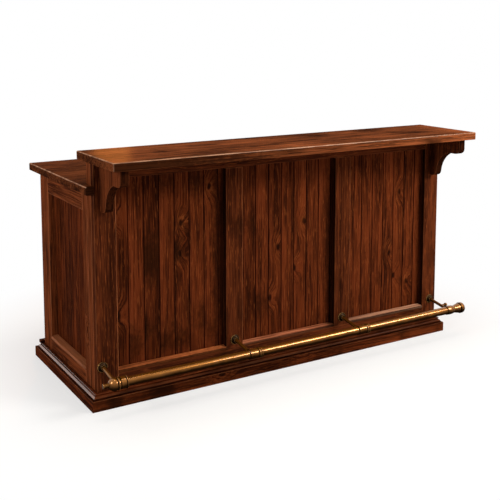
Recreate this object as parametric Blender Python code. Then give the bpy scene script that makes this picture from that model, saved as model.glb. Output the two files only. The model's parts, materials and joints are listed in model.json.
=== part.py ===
"""Bar counter: a raised bar top on a knee wall, a lower worktop and a brass foot rail.

Metres, +Z up. Customers stand on the -Y side and the shelves open on the +Y side.
The sizes below are counted from the case's own corner: X from its left end, Y from its
front face and Z from the floor. The last lines move the whole counter over the origin.
"""
from math import asin, cos, hypot, pi, sin

import bmesh
import bpy
from mathutils import Matrix, Vector

# Fits
GAP = 0.0003

# Case
CASE_LENGTH = 1.865
CASE_DEPTH = 0.685

# Front frame, from the left: four stiles and the openings between them. The third opening takes
# what the case's length leaves
FRONT_STILE_1 = 0.097
FRONT_OPENING_1 = 0.520
FRONT_STILE_2 = 0.086
FRONT_OPENING_2 = 0.513
FRONT_STILE_3 = 0.090
FRONT_STILE_4 = 0.087
FRAME_THICKNESS = 0.030
FRONT_TOP_RAIL = 0.069
FRONT_SILL_HEIGHT = 0.146

# Tongue-and-groove boards behind the frames
BOARDS_THICKNESS = 0.014
JOINT_WIDTH = 0.006
JOINT_DEPTH = 0.005
FIRST_BOARD_1 = 0.063
FIRST_BOARD_2 = 0.085
FIRST_BOARD_3 = 0.091
BOARD_WIDTH_1 = 0.0722
BOARD_WIDTH_2 = 0.0700
BOARD_WIDTH_3 = 0.0672
END_BOARD_WIDTH = 0.075

# Knee wall behind the front boards
WALL_BATTEN = 0.019
WALL_BATTEN_HEIGHT = 0.045
WALL_BACK = 0.012

# Ends and inside of the case
END_FRONT_STILE = 0.053
END_BACK_STILE = 0.107
END_TOP_RAIL = 0.086
END_SILL_HEIGHT = 0.134
SILL_THICKNESS = 0.012
SILL_RISE = 0.003
SILL_NOSE = 0.0015
SILL_ROUND = 0.004
SILL_DRIP = 0.002
DECK_TOP = 0.083
DECK_THICKNESS = 0.018
BEARER = 0.024
DIVIDER = 0.022
SHELF_HEIGHT = 0.470
SHELF_THICKNESS = 0.022
SHELF_SETBACK = 0.030
SHELF_ARRIS = 0.001
HOUSING_DEPTH = 0.006
BACK_RAIL = 0.024
BACK_RAIL_HEIGHT = 0.060

# Tops
BAR_HEIGHT = 1.067
BAR_TOP_THICKNESS = 0.036
BAR_TOP_END_OVERHANG = 0.012
BAR_TOP_FRONT_OVERHANG = 0.247
BAR_TOP_BACK_OVERHANG = 0.078
SERVING_GAP = 0.093
WORKTOP_THICKNESS = 0.034
WORKTOP_END_OVERHANG = 0.033
WORKTOP_BACK_OVERHANG = 0.060
WORKTOP_EAR = 0.006
TOP_CORNER = 0.004
TOP_ARRIS = 0.0035
ARRIS = 0.0024

# Corbels under the bar top
CORBEL_THICKNESS = 0.038
CORBEL_INSET = 0.028
CORBEL_REACH = 0.215
CORBEL_NOSE = 0.046
CORBEL_OVOLO_OUT = 0.030
CORBEL_OVOLO_DROP = 0.026
CORBEL_STEP = 0.045
CORBEL_LEG = 0.057
CORBEL_COVE_HEIGHT = 0.100
CORBEL_COVE_HOLLOW = 0.019
CORBEL_TOE_OUT = 0.029
CORBEL_TOE_DROP = 0.027
CORBEL_ARRIS = 0.0018

# Skirting and its cap moulding
SKIRTING_HEIGHT = 0.046
SKIRTING = 0.034
SKIRTING_BACK = 0.042
CAP_HEIGHT = 0.022
CAP_FOOT = 0.024
CAP_TOP = 0.0165
CAP_QUIRK = 0.0025
CAP_FILLET = 0.006
CAP_BASE = 0.002
CAP_ARRIS = 0.001
SKIRTING_ARRIS = 0.0018
DECK_NOSING = 0.023
NOSING_END = 0.020

# Foot rail. Its arms slope down from the wall flanges and aim a little above the rail's axis
RAIL_RADIUS = 0.019
RAIL_WALL = 0.0015
RAIL_OUT = 0.135
RAIL_HEIGHT = 0.149
RAIL_PAST_END = 0.0715
LEFT_BRACKET_IN = 0.024
RIGHT_BRACKET_IN = 0.039
FLANGE_RADIUS = 0.022
FLANGE_RIM = 0.004
FLANGE_DEPTH = 0.014
FLANGE_BOSS = 0.011
FLANGE_LIP = 0.001
FLANGE_LIFT = 0.026
ARM_AIM = 0.006
ARM_RADIUS = 0.0075
ARM_SOCKET = 0.002

# Turned detail that the fittings share
GROOVE_WIDTH = 0.004
GROOVE_DEPTH = 0.0013
BEAD_WIDTH = 0.0095
BEAD_RISE = 0.0018
ROUNDING = 0.0012

# Collars that grip the rail, counted from their arm
COLLAR_RADIUS = 0.0215
COLLAR_LEFT = 0.011
COLLAR_GROOVE = 0.034
PIN_RADIUS = 0.0050
PIN_LENGTH = 0.026
PIN_FROM_RAIL = 0.046
KNOB_RADIUS = 0.0085
KNOB_LENGTH = 0.011

# Ball fitting at the left end, counted from its arm
DOME_RADIUS = 0.028
DOME_LENGTH = 0.030
BALL_SHOULDER = 0.003
SLEEVE_START = 0.016
SLEEVE_RADIUS = 0.0255
SLEEVE_END = 0.051
STUB_RADIUS = 0.0090
STUB_LENGTH = 0.024
BUTTON_RADIUS = 0.0110
BUTTON_LENGTH = 0.005

# Domed cap at the right end, counted back from its tip
CAP_END_RADIUS = 0.0270
CAP_END_DOME = 0.020
CAP_END_BAND = 0.012
CAP_END_FLARE = 0.0235
CAP_END_FLARE_LENGTH = 0.014
CAP_END_NECK = 0.0185
CAP_END_NECK_LENGTH = 0.016
CAP_END_LENGTH = 0.0875
SPIGOT_LENGTH = 0.015

# Sides of a turned piece, and steps of a shaped edge
TURN_STEPS = 32
SMALL_TURN_STEPS = 20
CURVE_STEPS = 7

# Looks: colour, roughness and metallic value
DARK_WOOD = ((0.115, 0.038, 0.016), 0.42, 0.0)
TOP_WOOD = ((0.150, 0.052, 0.020), 0.34, 0.0)
INSIDE_WOOD = ((0.130, 0.050, 0.024), 0.55, 0.0)
BRASS = ((0.560, 0.400, 0.190), 0.30, 1.0)
BRONZE = ((0.230, 0.165, 0.100), 0.42, 1.0)

# Places worked out from the sizes
STILE_1_RIGHT = FRONT_STILE_1
STILE_2_LEFT = STILE_1_RIGHT + FRONT_OPENING_1
STILE_2_RIGHT = STILE_2_LEFT + FRONT_STILE_2
STILE_3_LEFT = STILE_2_RIGHT + FRONT_OPENING_2
STILE_3_RIGHT = STILE_3_LEFT + FRONT_STILE_3
STILE_4_LEFT = CASE_LENGTH - FRONT_STILE_4
STILE_2_MIDDLE = (STILE_2_LEFT + STILE_2_RIGHT) / 2
STILE_3_MIDDLE = (STILE_3_LEFT + STILE_3_RIGHT) / 2
BAR_UNDERSIDE = BAR_HEIGHT - BAR_TOP_THICKNESS
WORKTOP_HEIGHT = BAR_UNDERSIDE - SERVING_GAP
WORKTOP_UNDERSIDE = WORKTOP_HEIGHT - WORKTOP_THICKNESS
FRAME_TOP = BAR_UNDERSIDE - GAP
CASE_TOP = WORKTOP_UNDERSIDE - GAP
BOARDS_FRONT = FRAME_THICKNESS + GAP
BOARDS_BACK = BOARDS_FRONT + BOARDS_THICKNESS
BATTEN_FRONT = BOARDS_BACK + GAP
BATTEN_BACK = BATTEN_FRONT + WALL_BATTEN
WALL_BACK_FRONT = BATTEN_BACK + GAP
KNEE_WALL = WALL_BACK_FRONT + WALL_BACK
BEHIND_WALL = KNEE_WALL + GAP
INSIDE_LEFT = BOARDS_BACK + GAP
INSIDE_RIGHT = CASE_LENGTH - INSIDE_LEFT
FRONT_RAIL_BOTTOM = FRAME_TOP - FRONT_TOP_RAIL
FRONT_RAIL_TOP = FRONT_SILL_HEIGHT - SILL_THICKNESS - GAP
END_RAIL_TOP = END_SILL_HEIGHT - SILL_THICKNESS - GAP
DECK_BOTTOM = DECK_TOP - DECK_THICKNESS
CAP_BOTTOM = SKIRTING_HEIGHT + GAP
CAP_SUMMIT = CAP_BOTTOM + CAP_HEIGHT
FLANGE_HEIGHT = RAIL_HEIGHT + FLANGE_LIFT
SOCKET_RADIUS = RAIL_RADIUS + GAP
BORE_RADIUS = RAIL_RADIUS - RAIL_WALL
RAIL_TIP = CASE_LENGTH + RAIL_PAST_END
CAP_END_START = RAIL_TIP - CAP_END_LENGTH
ARM_RUN = hypot(RAIL_OUT, FLANGE_LIFT - ARM_AIM)
ARM_SLOPE = asin((FLANGE_LIFT - ARM_AIM) / ARM_RUN)


def clear_scene():
    """Removes whatever the file opened with."""
    for old in list(bpy.context.scene.objects):
        bpy.data.objects.remove(old, do_unlink=True)


def dress(obj, look):
    """Gives an object its own finish."""
    colour, roughness, metallic = look
    material = bpy.data.materials.new(obj.name + "_finish")
    material.use_nodes = True
    shader = material.node_tree.nodes["Principled BSDF"]
    shader.inputs["Base Color"].default_value = (*colour, 1.0)
    shader.inputs["Roughness"].default_value = roughness
    shader.inputs["Metallic"].default_value = metallic
    material.diffuse_color = (*colour, 1.0)
    obj.data.materials.append(material)


def place(name, bm, where, look, smooth=False):
    """Turns a bmesh into a named object at its own reference point, under the counter."""
    bmesh.ops.recalc_face_normals(bm, faces=bm.faces)
    mesh = bpy.data.meshes.new(name)
    bm.to_mesh(mesh)
    bm.free()
    obj = bpy.data.objects.new(name, mesh)
    bpy.context.scene.collection.objects.link(obj)
    obj.parent = COUNTER
    obj.location = where
    dress(obj, look)
    if smooth:
        mesh.shade_smooth()
        mesh.set_sharp_from_angle(angle=pi / 6)
    return obj


def ease(bm, edges, width, steps=1):
    """Rounds or chamfers some edges."""
    bmesh.ops.bevel(bm, geom=edges, offset=width, segments=steps, profile=0.5, affect='EDGES')


def board(name, low, high, look=DARK_WOOD, arris=ARRIS):
    """A straight board between two corners, with eased arrises. Its origin is its low corner."""
    size = Vector(high) - Vector(low)
    bm = bmesh.new()
    bmesh.ops.create_cube(bm, size=1.0)
    bmesh.ops.scale(bm, vec=size, verts=bm.verts)
    bmesh.ops.translate(bm, vec=size / 2, verts=bm.verts)
    if arris:
        ease(bm, bm.edges[:], arris)
    return place(name, bm, low, look)


def extruded(outline, axis, length):
    """A bmesh of an outline drawn across one axis and pushed along it."""
    bm = bmesh.new()
    others = [i for i in range(3) if i != axis]
    verts = []
    for first, second in outline:
        point = Vector((0.0, 0.0, 0.0))
        point[others[0]] = first
        point[others[1]] = second
        verts.append(bm.verts.new(point))
    face = bm.faces.new(verts)
    pushed = bmesh.ops.extrude_face_region(bm, geom=[face])
    step = Vector((0.0, 0.0, 0.0))
    step[axis] = length
    moved = [item for item in pushed["geom"] if isinstance(item, bmesh.types.BMVert)]
    bmesh.ops.translate(bm, vec=step, verts=moved)
    return bm


def arc(centre, radii, start, end, steps=CURVE_STEPS):
    """Points of an elliptical arc, from one angle to another in quarter turns."""
    points = []
    for i in range(steps + 1):
        angle = (start + (end - start) * i / steps) * pi / 2
        points.append((centre[0] + radii[0] * cos(angle), centre[1] + radii[1] * sin(angle)))
    return points


def hollow(start, end, depth, steps=CURVE_STEPS):
    """Points of a shallow circular arc between two points, hollow by the given depth."""
    run = Vector(end) - Vector(start)
    half = run.length / 2
    radius = (half * half + depth * depth) / (2 * depth)
    side = Vector((-run.y, run.x)).normalized()
    centre = (Vector(start) + Vector(end)) / 2 - side * (radius - depth)
    sweep = asin(half / radius)
    points = []
    for i in range(steps + 1):
        angle = sweep * (1 - 2 * i / steps)
        points.append(tuple(centre + side * radius * cos(angle) - run.normalized() * radius * sin(angle)))
    return points


def turned(profile, axis, steps=TURN_STEPS):
    """A bmesh of a profile of (distance along, radius) points, turned about one axis."""
    bm = bmesh.new()
    across = (axis + 1) % 3
    verts = []
    for along, radius in profile:
        point = Vector((0.0, 0.0, 0.0))
        point[axis] = along
        point[across] = radius
        verts.append(bm.verts.new(point))
    on_axis = profile[0][1] == 0.0 and profile[-1][1] == 0.0
    edges = [bm.edges.new((a, b)) for a, b in zip(verts, verts[1:])]
    if not on_axis:
        edges.append(bm.edges.new((verts[-1], verts[0])))
    turn = Vector((0.0, 0.0, 0.0))
    turn[axis] = 1.0
    bmesh.ops.spin(bm, geom=verts + edges, cent=(0.0, 0.0, 0.0), axis=turn,
                   angle=2 * pi, steps=steps, use_merge=True, use_duplicate=False)
    bmesh.ops.remove_doubles(bm, verts=bm.verts, dist=0.00001)
    return bm


def tool(name, bm, where):
    """A hidden shape that cuts or joins other pieces."""
    obj = place(name, bm, where, INSIDE_WOOD)
    obj.hide_render = True
    obj.display_type = 'WIRE'
    return obj


def combine(obj, other, operation):
    """Cuts a hidden shape out of a piece, or joins it on."""
    modifier = obj.modifiers.new(operation.lower(), 'BOOLEAN')
    modifier.operation = operation
    modifier.solver = 'EXACT'
    modifier.object = other


def box_tool(name, low, high):
    """A hidden box between two corners."""
    size = Vector(high) - Vector(low)
    bm = bmesh.new()
    bmesh.ops.create_cube(bm, size=1.0)
    bmesh.ops.scale(bm, vec=size, verts=bm.verts)
    bmesh.ops.translate(bm, vec=size / 2, verts=bm.verts)
    return tool(name, bm, low)


def grooved_outline(low, high, front, back, joints):
    """A run of boards seen from above: flat behind, with a V where two boards meet."""
    outline = [(low, back), (high, back), (high, front)]
    for joint in reversed(joints):
        outline.append((joint + JOINT_WIDTH / 2, front))
        outline.append((joint, front + (JOINT_DEPTH if back > front else -JOINT_DEPTH)))
        outline.append((joint - JOINT_WIDTH / 2, front))
    outline.append((low, front))
    return outline


def sill(name, low, high, depth_low, base, along, outward):
    """A sloped sill with a rounded nose, closing the foot of a panel.

    along is the axis it runs on, outward the sign of the side that its nose faces.
    """
    top = SILL_THICKNESS
    section = [(FRAME_THICKNESS, 0.0), (FRAME_THICKNESS, top + SILL_RISE)]
    section += arc((SILL_ROUND - SILL_NOSE, top - SILL_ROUND), (SILL_ROUND, SILL_ROUND), 1.0, 2.0, 3)
    section += [(-SILL_NOSE, SILL_DRIP), (0.0, 0.0)]
    outline = [(depth_low + outward * across, base + up) for across, up in section]
    bm = extruded(outline, along, high - low)
    start = Vector((0.0, 0.0, 0.0))
    start[along] = low
    return place(name, bm, start, DARK_WOOD)


def front_frame():
    """Corner stiles, mid stiles and rails, planted on the boards."""
    deep = FRAME_THICKNESS
    board("front_corner_stile_left", (0, 0, 0), (STILE_1_RIGHT, deep, FRAME_TOP))
    board("front_corner_stile_right", (STILE_4_LEFT, 0, 0), (CASE_LENGTH, deep, FRAME_TOP))
    left, right = STILE_1_RIGHT + GAP, STILE_4_LEFT - GAP
    board("front_top_rail", (left, 0, FRONT_RAIL_BOTTOM), (right, deep, FRAME_TOP))
    board("front_bottom_rail", (left, 0, 0), (right, deep, FRONT_RAIL_TOP))
    foot, head = FRONT_RAIL_TOP + GAP, FRONT_RAIL_BOTTOM - GAP
    board("front_mid_stile_1", (STILE_2_LEFT, 0, foot), (STILE_2_RIGHT, deep, head))
    board("front_mid_stile_2", (STILE_3_LEFT, 0, foot), (STILE_3_RIGHT, deep, head))
    sill("front_sill_1", STILE_1_RIGHT + GAP, STILE_2_LEFT - GAP, 0.0, foot, 0, 1)
    sill("front_sill_2", STILE_2_RIGHT + GAP, STILE_3_LEFT - GAP, 0.0, foot, 0, 1)
    sill("front_sill_3", STILE_3_RIGHT + GAP, STILE_4_LEFT - GAP, 0.0, foot, 0, 1)


def board_run(name, low, high, first_joint, width):
    """A run of tongue-and-groove boards between two X places."""
    joints = []
    joint = first_joint
    while joint < high - JOINT_WIDTH:
        joints.append(joint - low)
        joint += width
    outline = grooved_outline(0.0, high - low, 0.0, BOARDS_THICKNESS, joints)
    place(name, extruded(outline, 2, FRAME_TOP), (low, BOARDS_FRONT, 0.0), DARK_WOOD)


def front_boards():
    """Three runs of boards, which meet behind the mid stiles."""
    half = GAP / 2
    board_run("front_boards_1", INSIDE_LEFT, STILE_2_MIDDLE - half,
              STILE_1_RIGHT + FIRST_BOARD_1, BOARD_WIDTH_1)
    board_run("front_boards_2", STILE_2_MIDDLE + half, STILE_3_MIDDLE - half,
              STILE_2_RIGHT + FIRST_BOARD_2, BOARD_WIDTH_2)
    board_run("front_boards_3", STILE_3_MIDDLE + half, INSIDE_RIGHT,
              STILE_3_RIGHT + FIRST_BOARD_3, BOARD_WIDTH_3)


def knee_wall():
    """What stands behind the front boards and carries the bar top."""
    for side, low in (("left", 0.0), ("right", CASE_LENGTH - BOARDS_BACK)):
        board(f"wall_end_post_{side}", (low, BOARDS_FRONT, 0), (low + BOARDS_BACK, KNEE_WALL, FRAME_TOP))
    board("wall_top_plate", (INSIDE_LEFT, BATTEN_FRONT, FRAME_TOP - WALL_BATTEN_HEIGHT),
          (INSIDE_RIGHT, BATTEN_BACK, FRAME_TOP), INSIDE_WOOD)
    board("wall_back_board", (INSIDE_LEFT, WALL_BACK_FRONT, 0), (INSIDE_RIGHT, KNEE_WALL, FRAME_TOP))


def end_frame(side):
    """Frame, boards and sill of one end. Every piece is mirrored for the right end."""
    def across(near, far):
        """X of a piece, counted inwards from this end."""
        return (near, far) if side == "left" else (CASE_LENGTH - far, CASE_LENGTH - near)

    front_edge = BEHIND_WALL + END_FRONT_STILE
    back_edge = CASE_DEPTH - END_BACK_STILE
    low, high = across(0.0, FRAME_THICKNESS)
    board(f"end_front_stile_{side}", (low, BEHIND_WALL, 0), (high, front_edge, CASE_TOP))
    board(f"end_back_stile_{side}", (low, back_edge, 0), (high, CASE_DEPTH, CASE_TOP))
    rail = (front_edge + GAP, back_edge - GAP)
    board(f"end_top_rail_{side}", (low, rail[0], CASE_TOP - END_TOP_RAIL), (high, rail[1], CASE_TOP))
    board(f"end_bottom_rail_{side}", (low, rail[0], 0), (high, rail[1], END_RAIL_TOP))
    if side == "left":
        sill("end_sill_left", rail[0], rail[1], 0.0, END_RAIL_TOP + GAP, 1, 1)
    else:
        sill("end_sill_right", rail[0], rail[1], CASE_LENGTH, END_RAIL_TOP + GAP, 1, -1)

    joints = []
    joint = front_edge + END_BOARD_WIDTH
    while joint < back_edge - JOINT_WIDTH:
        joints.append(joint)
        joint += END_BOARD_WIDTH
    face, rear = (0.0, BOARDS_THICKNESS) if side == "left" else (BOARDS_THICKNESS, 0.0)
    flat = grooved_outline(BEHIND_WALL, CASE_DEPTH, face, rear, joints)
    bm = extruded([(x, y) for y, x in flat], 2, CASE_TOP)
    low, high = across(BOARDS_FRONT, BOARDS_BACK)
    return place(f"end_boards_{side}", bm, (low, 0.0, 0.0), DARK_WOOD)


def shelving(end_boards):
    """Deck, dividers and fixed shelves, housed in what stands beside them."""
    depth = (BEHIND_WALL, CASE_DEPTH)
    bearer_top = DECK_BOTTOM - GAP
    board("deck_bearer_front", (INSIDE_LEFT, depth[0], 0),
          (INSIDE_RIGHT, depth[0] + BEARER, bearer_top), INSIDE_WOOD)
    board("deck_bearer_back", (INSIDE_LEFT, depth[1] - BEARER, 0), (INSIDE_RIGHT, depth[1], bearer_top))
    board("bottom_deck", (INSIDE_LEFT, depth[0], DECK_BOTTOM), (INSIDE_RIGHT, depth[1], DECK_TOP),
          INSIDE_WOOD)
    board("deck_nosing", (-NOSING_END, depth[1] + GAP, CAP_SUMMIT + GAP),
          (CASE_LENGTH + NOSING_END, depth[1] + DECK_NOSING, DECK_TOP))
    rail_low = CASE_TOP - BACK_RAIL_HEIGHT
    board("back_rail", (INSIDE_LEFT, depth[1] - BACK_RAIL, rail_low), (INSIDE_RIGHT, depth[1], CASE_TOP))
    rail_notch = box_tool("back_rail_notch", (INSIDE_LEFT, depth[1] - BACK_RAIL - GAP, rail_low - GAP),
                          (INSIDE_RIGHT, depth[1] + BACK_RAIL, CASE_TOP + BACK_RAIL))

    dividers = []
    for i, middle in enumerate((STILE_2_MIDDLE, STILE_3_MIDDLE)):
        piece = board(f"divider_{i + 1}", (middle - DIVIDER / 2, depth[0], DECK_TOP + GAP),
                      (middle + DIVIDER / 2, depth[1], CASE_TOP), INSIDE_WOOD, 0)
        combine(piece, rail_notch, 'DIFFERENCE')
        dividers.append((piece, middle))

    walls = [(end_boards[0], INSIDE_LEFT - GAP, None)]
    walls += [(piece, middle + DIVIDER / 2, middle - DIVIDER / 2) for piece, middle in dividers]
    walls += [(end_boards[1], None, INSIDE_RIGHT + GAP)]
    for i in range(3):
        left_wall, right_wall = walls[i], walls[i + 1]
        low = left_wall[1] - HOUSING_DEPTH + GAP
        high = right_wall[2] + HOUSING_DEPTH - GAP
        back = depth[1] - SHELF_SETBACK
        board(f"shelf_{i + 1}", (low, depth[0], SHELF_HEIGHT), (high, back, SHELF_HEIGHT + SHELF_THICKNESS),
              INSIDE_WOOD, SHELF_ARRIS)
        housing = box_tool(f"shelf_housing_{i + 1}",
                           (low - GAP, depth[0] - SHELF_SETBACK, SHELF_HEIGHT - GAP),
                           (high + GAP, back + GAP, SHELF_HEIGHT + SHELF_THICKNESS + GAP))
        combine(left_wall[0], housing, 'DIFFERENCE')
        combine(right_wall[0], housing, 'DIFFERENCE')


def slab(name, outline, low_z, thickness):
    """A top of thick boards: its upright corners rounded first, then its long arrises."""
    bm = extruded(outline, 2, thickness)
    upright = [e for e in bm.edges if abs(e.verts[0].co.z - e.verts[1].co.z) > thickness / 2]
    ease(bm, upright, TOP_CORNER, 4)
    rims = []
    for edge in bm.edges:
        flat = abs(edge.verts[0].co.z - edge.verts[1].co.z) < thickness / 2
        steep = any(abs(face.normal.z) > 0.5 for face in edge.link_faces)
        if flat and steep:
            rims.append(edge)
    ease(bm, rims, TOP_ARRIS, 2)
    return place(name, bm, (0.0, 0.0, low_z), TOP_WOOD)


def tops():
    """The bar top on the knee wall, and the worktop notched round the knee wall's ends."""
    left, right = -BAR_TOP_END_OVERHANG, CASE_LENGTH + BAR_TOP_END_OVERHANG
    front, back = -BAR_TOP_FRONT_OVERHANG, KNEE_WALL + BAR_TOP_BACK_OVERHANG
    outline = [(left, front), (right, front), (right, back), (left, back)]
    slab("bar_top", outline, BAR_UNDERSIDE, BAR_TOP_THICKNESS)

    left, right = -WORKTOP_END_OVERHANG, CASE_LENGTH + WORKTOP_END_OVERHANG
    back = CASE_DEPTH + WORKTOP_BACK_OVERHANG
    notch = (-GAP, CASE_LENGTH + GAP)
    outline = [(left, -WORKTOP_EAR), (notch[0], -WORKTOP_EAR), (notch[0], BEHIND_WALL)]
    outline += [(notch[1], BEHIND_WALL), (notch[1], -WORKTOP_EAR), (right, -WORKTOP_EAR)]
    outline += [(right, back), (left, back)]
    bm = extruded(outline, 2, WORKTOP_THICKNESS)
    ease(bm, [e for e in bm.edges if min(v.co.y for v in e.verts) > CASE_DEPTH
              and abs(e.verts[0].co.z - e.verts[1].co.z) > WORKTOP_THICKNESS / 2], TOP_CORNER, 4)
    rims = []
    for edge in bm.edges:
        flat = abs(edge.verts[0].co.z - edge.verts[1].co.z) < WORKTOP_THICKNESS / 2
        outside = all(v.co.x < left + TOP_CORNER or v.co.x > right - TOP_CORNER or v.co.y > CASE_DEPTH
                      for v in edge.verts)
        turns = [face.normal.z for face in edge.link_faces]
        if flat and outside and max(turns) - min(turns) > 0.5:
            rims.append(edge)
    ease(bm, rims, TOP_ARRIS, 2)
    place("worktop", bm, (0.0, 0.0, WORKTOP_UNDERSIDE), TOP_WOOD)


def corbel_outline():
    """The corbel from the side, as (outward, down) from its top back corner."""
    nose_foot = (CORBEL_REACH - CORBEL_OVOLO_OUT, CORBEL_NOSE)
    step_z = CORBEL_NOSE + CORBEL_OVOLO_DROP
    cove_start = (nose_foot[0] - CORBEL_STEP, step_z)
    cove_end = (CORBEL_LEG, step_z + CORBEL_COVE_HEIGHT)
    toe = (CORBEL_LEG - CORBEL_TOE_OUT, cove_end[1])
    outline = [(0.0, 0.0), (CORBEL_REACH, 0.0)]
    outline += arc(nose_foot, (CORBEL_OVOLO_OUT, CORBEL_OVOLO_DROP), 0.0, 1.0)
    outline += hollow(cove_start, cove_end, CORBEL_COVE_HOLLOW)
    outline += arc(toe, (CORBEL_TOE_OUT, CORBEL_TOE_DROP), 0.0, 1.0)[1:]
    outline.append((0.0, cove_end[1] + CORBEL_TOE_DROP))
    return outline


def corbels():
    """Two shaped brackets under the bar top, one on each corner stile."""
    outline = [(-GAP - out, -down) for out, down in corbel_outline()]
    lows = {"left": CORBEL_INSET, "right": CASE_LENGTH - CORBEL_INSET - CORBEL_THICKNESS}
    for side, low in lows.items():
        bm = extruded(outline, 0, CORBEL_THICKNESS)
        rims = [e for e in bm.edges if abs(e.verts[0].co.x - e.verts[1].co.x) < GAP]
        ease(bm, rims, CORBEL_ARRIS)
        place(f"corbel_{side}", bm, (low, 0.0, FRAME_TOP), DARK_WOOD)


def planted_run(name, side, section, margins, low_z):
    """A mitred run planted round the foot of the case.

    section holds (outward, up) points. margins give, for the run's own side and for its two
    neighbours, how far each stands out, so that the mitre runs from corner to corner.
    """
    own, before, after = margins
    bm = bmesh.new()
    length = CASE_LENGTH if side in ("front", "back") else CASE_DEPTH
    rings = []
    for is_end in (False, True):
        reach = after if is_end else before
        ring = []
        for out, up in section:
            past = out * reach / own - GAP / 2
            along = length + past if is_end else -past
            if side == "front":
                point = (along, -out, up)
            elif side == "back":
                point = (along, CASE_DEPTH + out, up)
            elif side == "left":
                point = (-out, along, up)
            else:
                point = (CASE_LENGTH + out, along, up)
            ring.append(bm.verts.new(point))
        rings.append(ring)
    count = len(section)
    for i in range(count):
        j = (i + 1) % count
        bm.faces.new((rings[0][i], rings[0][j], rings[1][j], rings[1][i]))
    bm.faces.new(rings[0])
    bm.faces.new(reversed(rings[1]))
    return place(name, bm, (0.0, 0.0, low_z), DARK_WOOD)


def skirting():
    """Skirting boards and the cap moulding that lies on them."""
    cap = [(GAP, 0.0), (CAP_FOOT, 0.0)]
    ovolo_height = CAP_HEIGHT - CAP_FILLET - CAP_QUIRK - CAP_BASE
    waist = CAP_TOP - CAP_QUIRK
    cap += arc((waist, CAP_BASE), (CAP_FOOT - waist, ovolo_height), 0.0, 1.0, 5)
    cap += [(waist, CAP_HEIGHT - CAP_FILLET), (CAP_TOP, CAP_HEIGHT - CAP_FILLET + CAP_QUIRK / 2)]
    cap += [(CAP_TOP, CAP_HEIGHT - CAP_ARRIS), (CAP_TOP - CAP_ARRIS, CAP_HEIGHT), (GAP, CAP_HEIGHT)]
    for side in ("front", "back", "left", "right"):
        out = SKIRTING_BACK if side == "back" else SKIRTING
        before = SKIRTING
        after = SKIRTING_BACK if side in ("left", "right") else SKIRTING
        section = [(GAP, 0.0), (out, 0.0), (out, SKIRTING_HEIGHT - SKIRTING_ARRIS),
                   (out - SKIRTING_ARRIS, SKIRTING_HEIGHT), (GAP, SKIRTING_HEIGHT)]
        planted_run(f"skirting_{side}", side, section, (out, before, after), 0.0)
        planted_run(f"cap_moulding_{side}", side, cap, (CAP_FOOT, CAP_FOOT, CAP_FOOT), CAP_BOTTOM)


def rod_on_arm(radius, start, end):
    """A round rod on an arm's line, between two distances from the rail's axis."""
    bm = bmesh.new()
    bmesh.ops.create_cone(bm, cap_ends=True, segments=SMALL_TURN_STEPS, radius1=radius,
                          radius2=radius, depth=end - start)
    bmesh.ops.translate(bm, vec=(0, 0, (start + end) / 2), verts=bm.verts)
    bmesh.ops.rotate(bm, cent=(0, 0, 0), matrix=Matrix.Rotation(ARM_SLOPE - pi / 2, 3, 'X'), verts=bm.verts)
    return bm


def groove(start, radius):
    """Profile points of a square groove cut in a turned surface."""
    end = start + GROOVE_WIDTH
    return [(start, radius), (start, radius - GROOVE_DEPTH), (end, radius - GROOVE_DEPTH), (end, radius)]


def bead(start, radius, width=BEAD_WIDTH):
    """Profile points of a round bead that stands up from a turned surface."""
    return [(start + width * i / 4, radius + BEAD_RISE * sin(pi * i / 4)) for i in range(5)]


def collar_profile():
    """A collar on the rail: a band between two grooves, with two beads on its right."""
    profile = [(-COLLAR_LEFT, 0.0), (-COLLAR_LEFT, COLLAR_RADIUS - ROUNDING)]
    profile += groove(-COLLAR_LEFT + ROUNDING, COLLAR_RADIUS)
    profile += groove(COLLAR_GROOVE, COLLAR_RADIUS)
    profile += bead(COLLAR_GROOVE + GROOVE_WIDTH, COLLAR_RADIUS)[1:]
    profile += bead(COLLAR_GROOVE + GROOVE_WIDTH + BEAD_WIDTH, COLLAR_RADIUS)[1:]
    profile.append((profile[-1][0], 0.0))
    return profile


def last_collar_profile(length):
    """The last collar on the right, which is plain and stops at the domed cap."""
    profile = [(-COLLAR_LEFT, 0.0), (-COLLAR_LEFT, COLLAR_RADIUS - ROUNDING)]
    profile += groove(-COLLAR_LEFT + ROUNDING, COLLAR_RADIUS)
    profile += [(length / 2, COLLAR_RADIUS + ROUNDING), (length, COLLAR_RADIUS), (length, 0.0)]
    return profile


def ball_end_profile():
    """The left fitting: a button on a stub, a dome, a bead, and the sleeve that takes the rail."""
    stub_sweep = asin(STUB_RADIUS / DOME_RADIUS)
    button = -DOME_LENGTH * cos(stub_sweep) - STUB_LENGTH
    profile = [(button, 0.0), (button, BUTTON_RADIUS - ROUNDING), (button + ROUNDING, BUTTON_RADIUS)]
    profile += [(button + BUTTON_LENGTH - ROUNDING, BUTTON_RADIUS), (button + BUTTON_LENGTH, STUB_RADIUS)]
    profile += arc((0.0, 0.0), (-DOME_LENGTH, DOME_RADIUS), stub_sweep / (pi / 2), 1.0, 8)
    profile += groove(BALL_SHOULDER, DOME_RADIUS - ROUNDING)[:3]
    profile += bead(BALL_SHOULDER + GROOVE_WIDTH, SLEEVE_RADIUS)
    profile += groove(SLEEVE_START + ROUNDING, SLEEVE_RADIUS)
    last_bead = SLEEVE_END - BEAD_WIDTH / 2
    profile += groove(last_bead - GROOVE_WIDTH, SLEEVE_RADIUS)
    profile += bead(last_bead, SLEEVE_RADIUS, BEAD_WIDTH / 2)[1:]
    profile += [(SLEEVE_END, SOCKET_RADIUS), (SLEEVE_START, SOCKET_RADIUS), (SLEEVE_START, 0.0)]
    return profile


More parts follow.
